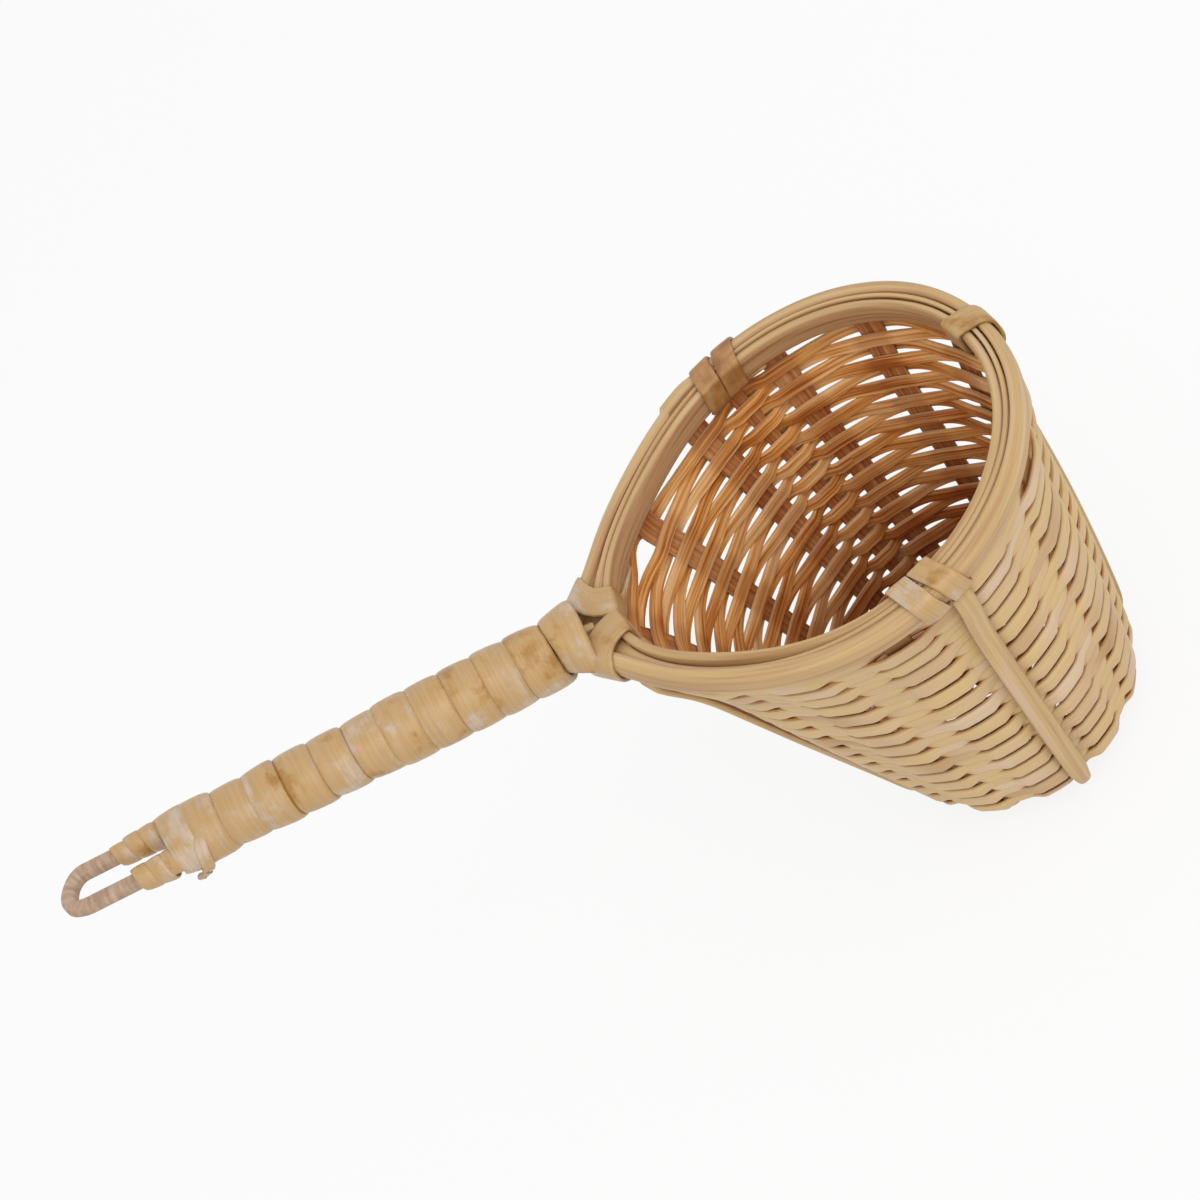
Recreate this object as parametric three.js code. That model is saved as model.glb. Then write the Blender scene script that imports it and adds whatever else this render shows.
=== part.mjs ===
// Bamboo tea strainer: a basket in plain weave, a rim of two hoops and a wrapped handle with a hanging loop.
// Millimetres, +Z up. The basket's axis is Z, its base stands on z = 0 and the handle points towards -X.
// Every piece of the basket takes its place from one curved sheet, the middle of the weave.
import * as THREE from "three";

// Clearances
const CLEAR = 0.25; // between pieces that lie on each other
const TURN_GAP = 0.5; // between neighbouring turns of a wound strip

// Rim
const SEAM_RADIUS = 33; // outer face of the inner hoop, away from the handle
const RIM_DRAW = 7.2; // how far the rim is drawn out towards the handle
const RIM_DRAW_SPREAD = 22; // degrees either side of the handle over which that fades
const RIM_HEIGHT = 79;
const INNER_HOOP_THICK = 1.7;
const INNER_HOOP_TALL = 4.5;
const OUTER_HOOP_THICK = 3;
const OUTER_HOOP_THIN = 1.9; // where the split strip is thinnest, on the side away from the handle
const OUTER_HOOP_THIN_AT = -5; // degrees from +X
const OUTER_HOOP_THIN_SPREAD = 35;
const OUTER_HOOP_TALL = 4.2;
const FILLER_TALL = 1.2;

// Basket
const FOOT_RADIUS = 22.3; // middle of the weave where the wall turns into the base
const WALL_CURVE = 1.56; // 1 is a straight cone, more is a rounder wall
const WALL_TUCK = 2.65; // how far the wall steps in under the hoops
const TUCK_FADE = 17; // how fast it does
const DRAW_FADE = 1.5; // how fast the drawn-out side becomes round on the way down
const CORNER_RADIUS = 6;
const STRIP_COUNT = 6; // strips that cross under the base, with a stake at each end
const STAKE_TURN = 26; // degrees from +X to the first stake
const STAKE_THICK = 0.8;
const STAKE_WIDE_RIM = 4.9;
const STAKE_WIDE_FOOT = 3.6;
const STAKE_WIDE_CENTRE = 2.2;
const STAKE_THICK_CENTRE = 0.4; // the strips are pared thin where they cross
const EXTRA_STAKE_TURN = 101;
const EXTRA_STAKE_SHARE = 0.6; // its width against the other stakes
const SPIRAL_START_STAKE = 5; // the stake that the wall's spiral starts and ends on
const ROW_PITCH = 2.3;
const WEAVER_TALL = 1.9;
const WEAVER_THICK = 0.8;
const WEAVER_LENGTHS = 6; // the spiral is made of this many lengths, butted over a stake
const BASE_ROUNDS = 1.5; // of the base's first weaver

// Outer ribs: the plan angles of each end at the rim, and of the straight run under the base
const RIB_WIDE = 3.6;
const RIB_THICK = 1.2;
const RIB_FRONT_BACK = { name: "rib_front_back", from: 287, under: 276.5, to: 97 };
const RIB_SIDE = { name: "rib_side", from: 18, under: 9, to: -166 };

// Bindings round the rim
const BINDING_THICK = 0.7;
const LASHING_WIDE = 3.1;
const LASHING_RIGHT_WIDE = 4.2;
const STRAP_WIDE = 4.4;
const LASHINGS = [
  { name: "lashing_front", at: 282.5, wide: LASHING_WIDE, turns: 1.75, towards: 1 },
  { name: "lashing_right", at: 11.5, wide: LASHING_RIGHT_WIDE, turns: 1.15, towards: 1 },
  { name: "lashing_back", at: 99, wide: LASHING_WIDE, turns: 1.75, towards: 1 },
];
const STRAPS = [
  { name: "root_strap_front", at: 190.5, wide: STRAP_WIDE, turns: 1.1, towards: -1 },
  { name: "root_strap_back", at: 165, wide: STRAP_WIDE, turns: 1.1, towards: 1 },
];

// Handle, measured along its axis from the seam
const HANDLE_RISE = 12.5; // degrees above the rim
const HANDLE_DROP = 1.8; // axis below the rim's top where it meets the seam
const CORE_START = 2.8;
const CORE_TAIL = 4; // the slat ends this far past the wrap
const CORE_THICK = 1.7;
const CORE_TALL_ROOT = 8.4;
const CORE_TALL_TAIL = 5.6;
const HOOP_LEAVE = 28; // degrees from the handle where the outer hoop leaves the rim
const HOOP_JOIN = 12; // where its two ends lie along the core
const HOOP_END = 44;
const HOOP_END_THICK = 2.8;
const WRAP_FROM = 7;
const WRAP_TURNS = 10.25;
const WRAP_WIDE = 5.5;
const WRAP_THICK = 0.85;
const ROOT_FLARE = 2.5; // the first turn is wider, over the spread ends of the hoop
const ROOT_SWELL = 1; // and a little taller
const LOOP_DIAMETER = 2.9;
const LOOP_HALF = 3.6; // half width of the loop between the middles of its legs
const LOOP_SKEW = 1; // the bend is fuller on the front side
const LEGS_SPREAD = 6; // its legs spread this far before and past the end of the wrap
const LOOP_REACH = 26; // from the end of the wrap to the tip
const LEG_WRAP_THICK = 0.75;
const LEG_WRAP_WIDE = 3.4;
const LEG_WRAPS = [
  { name: "leg_wrap_front", side: -1, turns: 1 },
  { name: "leg_wrap_back", side: 1, turns: 1.5 },
];
const TAIL_TURNS = 1;
const TAIL_BINDING_WIDE = 2.2;
const TAIL_BINDING_THICK = 1.2;
const TAIL_NUB = 3; // cut end of the tail binding that stands out

// Facets
const HOOP_STEPS = 72;
const TURN_STEPS = 18;
const WALL_STEPS = 12;
const WALL_STEP_GROWTH = 1.7; // the wall's steps are short under the rim
const CORNER_STEPS = 4;
const BEND_STEPS = 10; // where the outer hoop leaves the rim and where the loop turns back
const LEG_STEPS = 4;
const LOOP_SIDES = 8;
const TABLE_STEPS = 80; // in which the wall's length is measured

// Colours
const BAMBOO = new THREE.MeshStandardMaterial({ color: 0xc8a578, roughness: 0.6, metalness: 0 });
const AMBER_BAMBOO = new THREE.MeshStandardMaterial({ color: 0xb57a3c, roughness: 0.5, metalness: 0 });
const WRAP_STRIP = new THREE.MeshStandardMaterial({ color: 0xcda869, roughness: 0.45, metalness: 0 });
const CANE = new THREE.MeshStandardMaterial({ color: 0xbf9a7a, roughness: 0.65, metalness: 0 });

// Derived places
const { degToRad: radians, euclideanModulo, lerp, mapLinear, smoothstep } = THREE.MathUtils;
const UP = new THREE.Vector3(0, 0, 1);
const DOWN = new THREE.Vector3(0, 0, -1);
const HOOP_SLOT = STAKE_THICK + 2 * CLEAR; // between the hoops
const TOP_RADIUS = SEAM_RADIUS + HOOP_SLOT / 2;
const WEAVE_OFFSET = STAKE_THICK / 2 + CLEAR + WEAVER_THICK / 2; // middle of a weaver from the sheet
const WEAVE_HALF = WEAVE_OFFSET + WEAVER_THICK / 2;
const RIB_OFFSET = WEAVE_HALF + CLEAR + RIB_THICK / 2;
const RIB_LEVEL = RIB_THICK + CLEAR; // the front rib passes this far under the side rib
const BASE_LEVEL = RIB_OFFSET + RIB_LEVEL + RIB_THICK / 2;
const HOOPS_TALL = Math.max(INNER_HOOP_TALL, OUTER_HOOP_TALL);
const UNDER_RIM_AT = HOOPS_TALL + 2 * CLEAR + BINDING_THICK; // below the bindings
const RIM_BAND = UNDER_RIM_AT + WEAVER_TALL; // the wall is upright down to the first row
const FOOT_LEAN = Math.atan2(
  (TOP_RADIUS - WALL_TUCK - FOOT_RADIUS) * WALL_CURVE,
  RIM_HEIGHT - RIM_BAND - BASE_LEVEL - CORNER_RADIUS,
);
const FOOT_HEIGHT = BASE_LEVEL + CORNER_RADIUS * (1 - Math.sin(FOOT_LEAN));
const BASE_RADIUS = FOOT_RADIUS - CORNER_RADIUS * Math.cos(FOOT_LEAN);
const CORNER_LENGTH = CORNER_RADIUS * (Math.PI / 2 - FOOT_LEAN);
const WALL_HEIGHT = RIM_HEIGHT - RIM_BAND - FOOT_HEIGHT;
const WRAP_PITCH = WRAP_WIDE + TURN_GAP;
const WRAP_FIRST = WRAP_FROM + WRAP_WIDE / 2;
const WRAP_END = WRAP_FIRST + WRAP_TURNS * WRAP_PITCH + WRAP_WIDE / 2;
const CORE_END = WRAP_END + CORE_TAIL;
const LOOP_TIP = WRAP_END + LOOP_REACH;

// Plan angle from -180 to 180 degrees
function signedAngle(theta) {
  return Math.atan2(Math.sin(theta), Math.cos(theta));
}

// Smooth rise to 1 at a middle angle
function bump(theta, middle, spread) {
  return Math.exp(-0.5 * (signedAngle(theta - middle) / radians(spread)) ** 2);
}

// Share of the rim's draw at a plan angle
function drawnOut(theta) {
  return bump(theta, Math.PI, RIM_DRAW_SPREAD);
}

function outerHoopThick(theta) {
  const thin = bump(theta, radians(OUTER_HOOP_THIN_AT), OUTER_HOOP_THIN_SPREAD);
  return lerp(OUTER_HOOP_THICK, OUTER_HOOP_THIN, thin);
}

// Radius of the sheet at a share of the wall's height, 0 under the rim and 1 at the foot
function wallRadius(theta, share) {
  const round = FOOT_RADIUS + (TOP_RADIUS - WALL_TUCK - FOOT_RADIUS) * (1 - share ** WALL_CURVE);
  const tuck = WALL_TUCK * (1 - share) ** TUCK_FADE * (1 + TUCK_FADE * share);
  return round + tuck + RIM_DRAW * drawnOut(theta) * (1 - share) ** DRAW_FADE;
}

// Distance down the wall against the share of its height, on the side away from the handle
const WALL_TABLE = [RIM_BAND];
for (let i = 1; i <= TABLE_STEPS; i++) {
  const rise = WALL_HEIGHT / TABLE_STEPS;
  const step = wallRadius(0, i / TABLE_STEPS) - wallRadius(0, (i - 1) / TABLE_STEPS);
  WALL_TABLE.push(WALL_TABLE[i - 1] + Math.hypot(rise, step));
}
const FOOT_AT = WALL_TABLE[TABLE_STEPS];
const BASE_AT = FOOT_AT + CORNER_LENGTH;
const CENTRE_AT = BASE_AT + BASE_RADIUS;

function wallShare(distance) {
  const i = Math.max(1, WALL_TABLE.findIndex((d) => d >= distance));
  const part = (distance - WALL_TABLE[i - 1]) / (WALL_TABLE[i] - WALL_TABLE[i - 1]);
  return (i - 1 + part) / TABLE_STEPS;
}

// Point of the sheet at a plan angle and a distance from the rim's top, down the wall and in over the base
function sheetPoint(theta, distance) {
  let radius = BASE_RADIUS - (distance - BASE_AT);
  let height = BASE_LEVEL;
  if (distance < RIM_BAND) {
    radius = wallRadius(theta, 0);
    height = RIM_HEIGHT - distance;
  } else if (distance < FOOT_AT) {
    const share = wallShare(distance);
    radius = wallRadius(theta, share);
    height = RIM_HEIGHT - RIM_BAND - share * WALL_HEIGHT;
  } else if (distance < BASE_AT) {
    const turn = FOOT_LEAN + (distance - FOOT_AT) / CORNER_RADIUS;
    radius = BASE_RADIUS + CORNER_RADIUS * Math.cos(turn);
    height = BASE_LEVEL + CORNER_RADIUS * (1 - Math.sin(turn));
  }
  return new THREE.Vector3(radius * Math.cos(theta), radius * Math.sin(theta), height);
}

// The sheet's point with its unit directions: round the basket, down the wall and out of it
function sheetFrame(theta, distance) {
  const nudge = 1e-3;
  const point = sheetPoint(theta, distance);
  const around = sheetPoint(theta + nudge, distance).sub(sheetPoint(theta - nudge, distance)).normalize();
  const along = sheetPoint(theta, distance + nudge).sub(sheetPoint(theta, distance - nudge)).normalize();
  const out = along.clone().cross(around).normalize();
  return { point, around, along, out };
}

// Plan frame of the rim at an angle, moved out from the seam
function rimFrame(theta, out, height) {
  const radius = (a) => SEAM_RADIUS + RIM_DRAW * drawnOut(a);
  const place = (a) => new THREE.Vector3(Math.cos(a), Math.sin(a), 0).multiplyScalar(radius(a));
  const nudge = 1e-3;
  const around = place(theta + nudge).sub(place(theta - nudge)).normalize();
  const normal = new THREE.Vector3(around.y, -around.x, 0);
  const origin = place(theta).addScaledVector(normal, out).setZ(height);
  return { origin, normal, around };
}

// Frame on the handle's axis: side is -Y, rise is square to the axis
const HANDLE_AXIS = new THREE.Vector3(-Math.cos(radians(HANDLE_RISE)), 0, Math.sin(radians(HANDLE_RISE)));
const HANDLE_SIDE = new THREE.Vector3(0, -1, 0);
const HANDLE_UP = new THREE.Vector3().crossVectors(HANDLE_AXIS, HANDLE_SIDE);
const HANDLE_ORIGIN = new THREE.Vector3(-SEAM_RADIUS - RIM_DRAW, 0, RIM_HEIGHT - HANDLE_DROP);

function handlePoint(length, side, rise) {
  return HANDLE_ORIGIN.clone()
    .addScaledVector(HANDLE_AXIS, length)
    .addScaledVector(HANDLE_SIDE, side)
    .addScaledVector(HANDLE_UP, rise);
}

// Four corners round a middle point: a and b are unit directions
function fourCorners(middle, a, b, wide, thick) {
  const corner = (i, j) =>
    middle.clone().addScaledVector(a, (i * wide) / 2).addScaledVector(b, (j * thick) / 2);
  return [corner(1, 1), corner(-1, 1), corner(-1, -1), corner(1, -1)];
}

// Closed skin over a row of rings with the same number of corners
function skin(rings, closed = false) {
  const sides = rings[0].length;
  const index = [];
  const spans = closed ? rings.length : rings.length - 1;
  for (let i = 0; i < spans; i++) {
    const here = i * sides;
    const next = ((i + 1) % rings.length) * sides;
    for (let j = 0; j < sides; j++) {
      const k = (j + 1) % sides;
      index.push(here + j, here + k, next + k, here + j, next + k, next + j);
    }
  }
  if (!closed) {
    const last = (rings.length - 1) * sides;
    for (let j = 1; j + 1 < sides; j++) {
      index.push(0, j + 1, j, last, last + j, last + j + 1);
    }
  }
  const points = rings.flat();
  const volume = (a, b, c) => points[a].dot(new THREE.Vector3().crossVectors(points[b], points[c]));
  let total = 0;
  for (let i = 0; i < index.length; i += 3) total += volume(index[i], index[i + 1], index[i + 2]);
  if (total < 0) index.reverse();
  return new THREE.BufferGeometry().setFromPoints(points).setIndex(index);
}

const strainer = new THREE.Group();
strainer.name = "bamboo_tea_strainer";

function addPiece(name, geometry, material) {
  const mesh = new THREE.Mesh(geometry, material);
  mesh.name = name;
  strainer.add(mesh);
}

// Rim hoops

function innerHoop() {
  const middle = RIM_HEIGHT - INNER_HOOP_TALL / 2;
  const rings = [];
  for (let i = 0; i < HOOP_STEPS; i++) {
    const { origin, normal } = rimFrame((2 * Math.PI * i) / HOOP_STEPS, -INNER_HOOP_THICK / 2, middle);
    rings.push(fourCorners(origin, UP, normal, INNER_HOOP_TALL, INNER_HOOP_THICK));
  }
  return skin(rings, true);
}

// Half-round section of the outer hoop as shares of its thickness and height, flat face first
const HALF_ROUND = [
  [0, -0.42], [0, 0.42], [0.3, 0.5], [0.75, 0.36], [1, 0.12], [1, -0.12], [0.75, -0.36], [0.3, -0.5],
];

// The flat face's middle line and the thickness there, from one end in the handle round to the other
function outerHoopLine() {
  const height = RIM_HEIGHT - OUTER_HOOP_TALL / 2;
  const leave = Math.PI - radians(HOOP_LEAVE);
  const line = [];
  for (let i = 0; i <= HOOP_STEPS; i++) {
    const theta = -leave + (2 * leave * i) / HOOP_STEPS;
    line.push({ point: rimFrame(theta, HOOP_SLOT, height).origin, thick: outerHoopThick(theta) });
  }
  for (const side of [-1, 1]) {
    const { origin, around } = rimFrame(side * leave, HOOP_SLOT, height);
    const joined = handlePoint(HOOP_JOIN, (-side * CORE_THICK) / 2 - side * CLEAR, 0);
    const reach = origin.distanceTo(joined) / 3;
    const bend = new THREE.CubicBezierCurve3(
      origin,
      origin.clone().addScaledVector(around, side * reach),
      joined.clone().addScaledVector(HANDLE_AXIS, -reach),
      joined,
    );
    const end = [];
    for (let i = 1; i <= BEND_STEPS; i++) {
      const thick = lerp(OUTER_HOOP_THICK, HOOP_END_THICK, i / BEND_STEPS);
      end.push({ point: bend.getPoint(i / BEND_STEPS), thick });
    }
    const tail = joined.clone().addScaledVector(HANDLE_AXIS, HOOP_END - HOOP_JOIN);
    end.push({ point: tail, thick: HOOP_END_THICK });
    if (side > 0) line.push(...end);
    else line.unshift(...end.reverse());
  }
  return line;
}

function outerHoop() {
  const line = outerHoopLine();
  const rings = line.map(({ point, thick }, i) => {
    const before = line[Math.max(i - 1, 0)].point;
    const after = line[Math.min(i + 1, line.length - 1)].point;
    const heading = after.clone().sub(before).normalize();
    const out = new THREE.Vector3(heading.y, -heading.x, 0).normalize();
    const up = new THREE.Vector3().crossVectors(out, heading);
    return HALF_ROUND.map(([a, b]) =>
      point.clone().addScaledVector(out, a * thick).addScaledVector(up, b * OUTER_HOOP_TALL),
    );
  });
  return skin(rings);
}

function rimFiller() {
  const leave = Math.PI - radians(HOOP_LEAVE);
  const rings = [];
  for (let i = 0; i <= HOOP_STEPS; i++) {
    const theta = -leave + (2 * leave * i) / HOOP_STEPS;
    const { origin, normal } = rimFrame(theta, HOOP_SLOT / 2, RIM_HEIGHT - FILLER_TALL / 2);
    rings.push(fourCorners(origin, UP, normal, FILLER_TALL, STAKE_THICK));
  }
  return skin(rings);
}

addPiece("inner_hoop", innerHoop(), BAMBOO);
addPiece("outer_hoop", outerHoop(), BAMBOO);
addPiece("rim_filler", rimFiller(), BAMBOO);

// Stakes

const STAKE_TOP_AT = FILLER_TALL + CLEAR;
const STAKE_STEP = Math.PI / STRIP_COUNT;
const CROSSING_RADIUS = STAKE_WIDE_CENTRE / 2 / Math.sin(STAKE_STEP / 2) + CLEAR;
const FIRST_ROW_AT = UNDER_RIM_AT + WEAVER_TALL / 2;
const LAST_ROW_AT = BASE_AT + ROW_PITCH / 2; // half a row past the corner
const ROUNDS = Math.round((LAST_ROW_AT - FIRST_ROW_AT) / ROW_PITCH);
const WALL_PITCH = (LAST_ROW_AT - FIRST_ROW_AT) / ROUNDS;
const BASE_WEAVE_INNER = CENTRE_AT - LAST_ROW_AT - 2 * BASE_ROUNDS * ROW_PITCH;
const SPREAD_RADIUS = BASE_WEAVE_INNER - WEAVER_TALL / 2 - CLEAR; // all strips lie level outside this

function stakeWide(distance) {
  const spreadAt = CENTRE_AT - SPREAD_RADIUS;
  if (distance < FOOT_AT) return mapLinear(distance, 0, FOOT_AT, STAKE_WIDE_RIM, STAKE_WIDE_FOOT);
  if (distance > spreadAt) return STAKE_WIDE_CENTRE;
  return mapLinear(distance, FOOT_AT, spreadAt, STAKE_WIDE_FOOT, STAKE_WIDE_CENTRE);
}

// Distances of the rings from a top end down the wall and round the corner
function wallStations(top) {
  const stations = top < RIM_BAND ? [top] : [];
  const start = Math.max(top, RIM_BAND);
  for (let i = 0; i < WALL_STEPS; i++) {
    stations.push(lerp(start, FOOT_AT, (i / WALL_STEPS) ** WALL_STEP_GROWTH));
  }
  for (let i = 0; i < CORNER_STEPS; i++) stations.push(FOOT_AT + (CORNER_LENGTH * i) / CORNER_STEPS);
  return stations;
}

// One strip with a stake at each end; level counts the strips under it where they cross
function stakeStrip(theta, level) {
  const flat = new THREE.Vector3(-Math.sin(theta), Math.cos(theta), 0);
  const lift = -WEAVE_HALF + STAKE_THICK_CENTRE / 2 + level * (STAKE_THICK_CENTRE + CLEAR);
  const half = (side) => {
    const angle = side > 0 ? theta : theta + Math.PI;
    const rings = wallStations(STAKE_TOP_AT).map((at) => {
      const { point, around, out } = sheetFrame(angle, at);
      return fourCorners(point, around.multiplyScalar(side), out, stakeWide(at), STAKE_THICK);
    });
    for (const [radius, share] of [[BASE_RADIUS, 0], [SPREAD_RADIUS, 0], [CROSSING_RADIUS, 1]]) {
      const thick = radius < BASE_RADIUS ? STAKE_THICK_CENTRE : STAKE_THICK;
      const middle = sheetPoint(angle, CENTRE_AT - radius).addScaledVector(UP, share * lift);
      rings.push(fourCorners(middle, flat, DOWN, stakeWide(CENTRE_AT - radius), thick));
    }
    return rings;
  };
  return skin([...half(1), ...half(-1).reverse()]);
}

// A short stake that ends under the last row of the spiral
function extraStake(end) {
  const theta = radians(EXTRA_STAKE_TURN);
  const rings = [...wallStations(UNDER_RIM_AT), BASE_AT, end].map((at) => {
    const { point, around, out } = sheetFrame(theta, at);
    return fourCorners(point, around, out, EXTRA_STAKE_SHARE * stakeWide(at), STAKE_THICK);
  });
  return skin(rings);
}

// Weave

// Plan angles and width shares of the stakes in the order in which the spiral meets them
const EVEN_STAKES = [];
for (let i = 0; i < 2 * STRIP_COUNT; i++) {
  const place = SPIRAL_START_STAKE + i;
  EVEN_STAKES.push({ theta: radians(STAKE_TURN) + place * STAKE_STEP, share: 1 });
}
const START_THETA = EVEN_STAKES[0].theta;
const extraTurn = euclideanModulo(radians(EXTRA_STAKE_TURN) - START_THETA, 2 * Math.PI);
const ODD_STAKES = [...EVEN_STAKES, { theta: START_THETA + extraTurn, share: EXTRA_STAKE_SHARE }];
ODD_STAKES.sort((a, b) => a.theta - b.theta);

// A weaver that changes sides at each stake, from one crossing to another, ends cut short over the stakes
function weaver(stakes, first, last, distanceAt, startSide) {
  const rings = [];
  for (let n = first; n <= last; n++) {
    const round = Math.floor(n / stakes.length);
    const { theta, share } = stakes[n % stakes.length];
    const side = (n % 2 ? -1 : 1) * startSide;
    const middle = theta + 2 * Math.PI * round;
    const at = distanceAt(middle);
    const radius = Math.hypot(sheetPoint(theta, at).x, sheetPoint(theta, at).y);
    const reach = ((share * stakeWide(at)) / 2 + CLEAR) / radius;
    const butt = CLEAR / radius;
    for (const turn of [n === first ? butt : -reach, n === last ? -butt : reach]) {
      const { point, along, out } = sheetFrame(middle + turn, distanceAt(middle + turn));
      point.addScaledVector(out, side * WEAVE_OFFSET);
      rings.push(fourCorners(point, out, along, WEAVER_THICK, WEAVER_TALL));
    }
  }
  return skin(rings);
}

const spiralAt = (theta) => FIRST_ROW_AT + (WALL_PITCH * (theta - START_THETA)) / (2 * Math.PI);

for (let i = 0; i < STRIP_COUNT; i++) {
  const strip = stakeStrip(radians(STAKE_TURN) + i * STAKE_STEP, i);
  addPiece(`stake_strip_${i + 1}`, strip, AMBER_BAMBOO);
}
const EXTRA_STAKE_END = LAST_ROW_AT + WEAVER_TALL / 4; // covered by the last row
addPiece("extra_stake", extraStake(EXTRA_STAKE_END), AMBER_BAMBOO);

const CROSSINGS = ROUNDS * ODD_STAKES.length;
for (let i = 0; i < WEAVER_LENGTHS; i++) {
  const first = Math.round((CROSSINGS * i) / WEAVER_LENGTHS);
  const last = Math.round((CROSSINGS * (i + 1)) / WEAVER_LENGTHS);
  addPiece(`weaver_${i + 1}`, weaver(ODD_STAKES, first, last, spiralAt, 1), AMBER_BAMBOO);
}

// On the base two weavers follow each other, each in every other row, because the number of stakes is even
for (const i of [0, 1]) {
  const startAt = LAST_ROW_AT + i * ROW_PITCH;
  const baseAt = (theta) => startAt + (2 * ROW_PITCH * (theta - START_THETA)) / (2 * Math.PI);
  const rounds = BASE_ROUNDS - i / 2; // both end at the same radius
  const last = Math.floor(rounds * EVEN_STAKES.length);
  const side = (CROSSINGS % 2 ? 1 : -1) * (i ? -1 : 1);
  addPiece(`base_weaver_${i + 1}`, weaver(EVEN_STAKES, 0, last, baseAt, side), AMBER_BAMBOO);
}

// Outer ribs

function rib({ from, under, to }, level) {
  const flat = new THREE.Vector3(-Math.sin(radians(under)), Math.cos(radians(under)), 0);
  const half = (side) => {
    const rimAngle = side > 0 ? from : to;
    const baseAngle = side > 0 ? under : under - 180;
    const angleAt = (at) => radians(mapLinear(at, 0, BASE_AT, rimAngle, baseAngle));
    const rings = [...wallStations(UNDER_RIM_AT), BASE_AT].map((at) => {
      const { point, around, out } = sheetFrame(angleAt(at), at);
      const down = smoothstep(at, FOOT_AT, BASE_AT) * level;
      point.addScaledVector(out, RIB_OFFSET + down);
      return fourCorners(point, around.multiplyScalar(side), out, RIB_WIDE, RIB_THICK);
    });
    const middle = new THREE.Vector3(0, 0, BASE_LEVEL - RIB_OFFSET - level);
    return [...rings, fourCorners(middle, flat, DOWN, RIB_WIDE, RIB_THICK)];
  };
  return skin([...half(1), ...half(-1).reverse().slice(1)]);
}

addPiece(RIB_FRONT_BACK.name, rib(RIB_FRONT_BACK, RIB_LEVEL), BAMBOO);
addPiece(RIB_SIDE.name, rib(RIB_SIDE, 0), BAMBOO);

// Wound strips

// Gives each point of an outline its share of the way round
function measured(outline) {
  const lengths = outline.map(({ place }, i) => place.distanceTo(outline[(i + 1) % outline.length].place));
  const total = lengths.reduce((sum, length) => sum + length);
  let sum = 0;
  outline.forEach((point, i) => {
    point.share = sum / total;
    sum += lengths[i];
  });
  return outline;
}

// Rounded rectangle as points with their normals, three to a corner
function boxOutline(low, high, radius) {
  const outline = [];
  const corners = [[1, 1], [-1, 1], [-1, -1], [1, -1]];
  corners.forEach(([i, j], quarter) => {
    const u = i > 0 ? high.x - radius : low.x + radius;
    const v = j > 0 ? high.y - radius : low.y + radius;
    for (const part of [0, 0.5, 1]) {
      const angle = ((quarter + part) * Math.PI) / 2;
      const normal = new THREE.Vector2(Math.cos(angle), Math.sin(angle));
      outline.push({ place: new THREE.Vector2(u, v).addScaledVector(normal, radius), normal });
    }
  });
  return measured(outline);
}

// Ellipse as points with their normals
function ellipseOutline(halfSide, halfRise) {
  const outline = [];
  for (let i = 0; i < TURN_STEPS; i++) {
    const angle = (2 * Math.PI * i) / TURN_STEPS;
    const place = new THREE.Vector2(halfSide * Math.cos(angle), halfRise * Math.sin(angle));
    const normal = new THREE.Vector2(Math.cos(angle) / halfSide, Math.sin(angle) / halfRise).normalize();
    outline.push({ place, normal });
  }
  return measured(outline);
}

// Rings of a strip wound round an outline that moves along a frame; first is the outline point it starts on
// and hand is the way round
function windingRings({ outlineAt, frameAt, pitch, turns, wide, thick, first = 0, hand = 1 }) {
  const start = outlineAt(0);
  const steps = start.length;
  const rings = [];
  for (let i = 0; i <= Math.round(turns * steps); i++) {
    const place = first + hand * i;
    const k = euclideanModulo(place, steps);
    const along = pitch * hand * (Math.floor(place / steps) + start[k].share - start[first].share);
    const on = outlineAt(along)[k];
    const { origin, side, rise, axis } = frameAt(along, on.place);
    const middle = origin.clone().addScaledVector(side, on.place.x).addScaledVector(rise, on.place.y);
    const out = side.clone().multiplyScalar(on.normal.x).addScaledVector(rise, on.normal.y);
    rings.push(fourCorners(middle, axis, out, wide, thick));
  }
  return rings;
}

// Least distance between the corners of one turn and the edges of the others
function leastGap(rings, steps) {
  let least = Infinity;
  const sameTurn = 0.7 * steps; // rings nearer than this in the row belong to one turn
  const edge = new THREE.Line3();
  const near = new THREE.Vector3();
  for (let i = 0; i < rings.length; i++) {
    for (let j = 0; j + 1 < rings.length; j++) {
      if (Math.abs(i - j) < sameTurn) continue;
      for (const corner of rings[i]) {
        for (let k = 0; k < 4; k++) {
          edge.set(rings[j][k], rings[j + 1][k]).closestPointToPoint(corner, true, near);
          least = Math.min(least, near.distanceTo(corner));
        }
      }
    }
  }
  return least;
}

function addWinding(name, winding, material, extraRings = () => []) {
  const rings = windingRings(winding);
  const gap = leastGap(rings, winding.outlineAt(0).length);
  if (Number.isFinite(gap)) console.log(`${name}: least gap between its turns ${gap.toFixed(2)} mm`);
  addPiece(name, skin([...rings, ...extraRings(rings)]), material);
}

// The outer hoop's middle line at a plan angle
const HOOP_LINE = outerHoopLine();

function hoopAt(theta) {
  const turnOf = ({ point }) => Math.atan2(point.y, point.x);
  const turn = signedAngle(theta);
  const i = Math.max(1, HOOP_LINE.findIndex((place) => turnOf(place) >= turn));
  const [before, after] = [HOOP_LINE[i - 1], HOOP_LINE[i]];
  const part = (turn - turnOf(before)) / (turnOf(after) - turnOf(before));
  return {
    point: before.point.clone().lerp(after.point, part),
    thick: lerp(before.thick, after.thick, part),
    heading: after.point.clone().sub(before.point).normalize(),
  };
}

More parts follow.
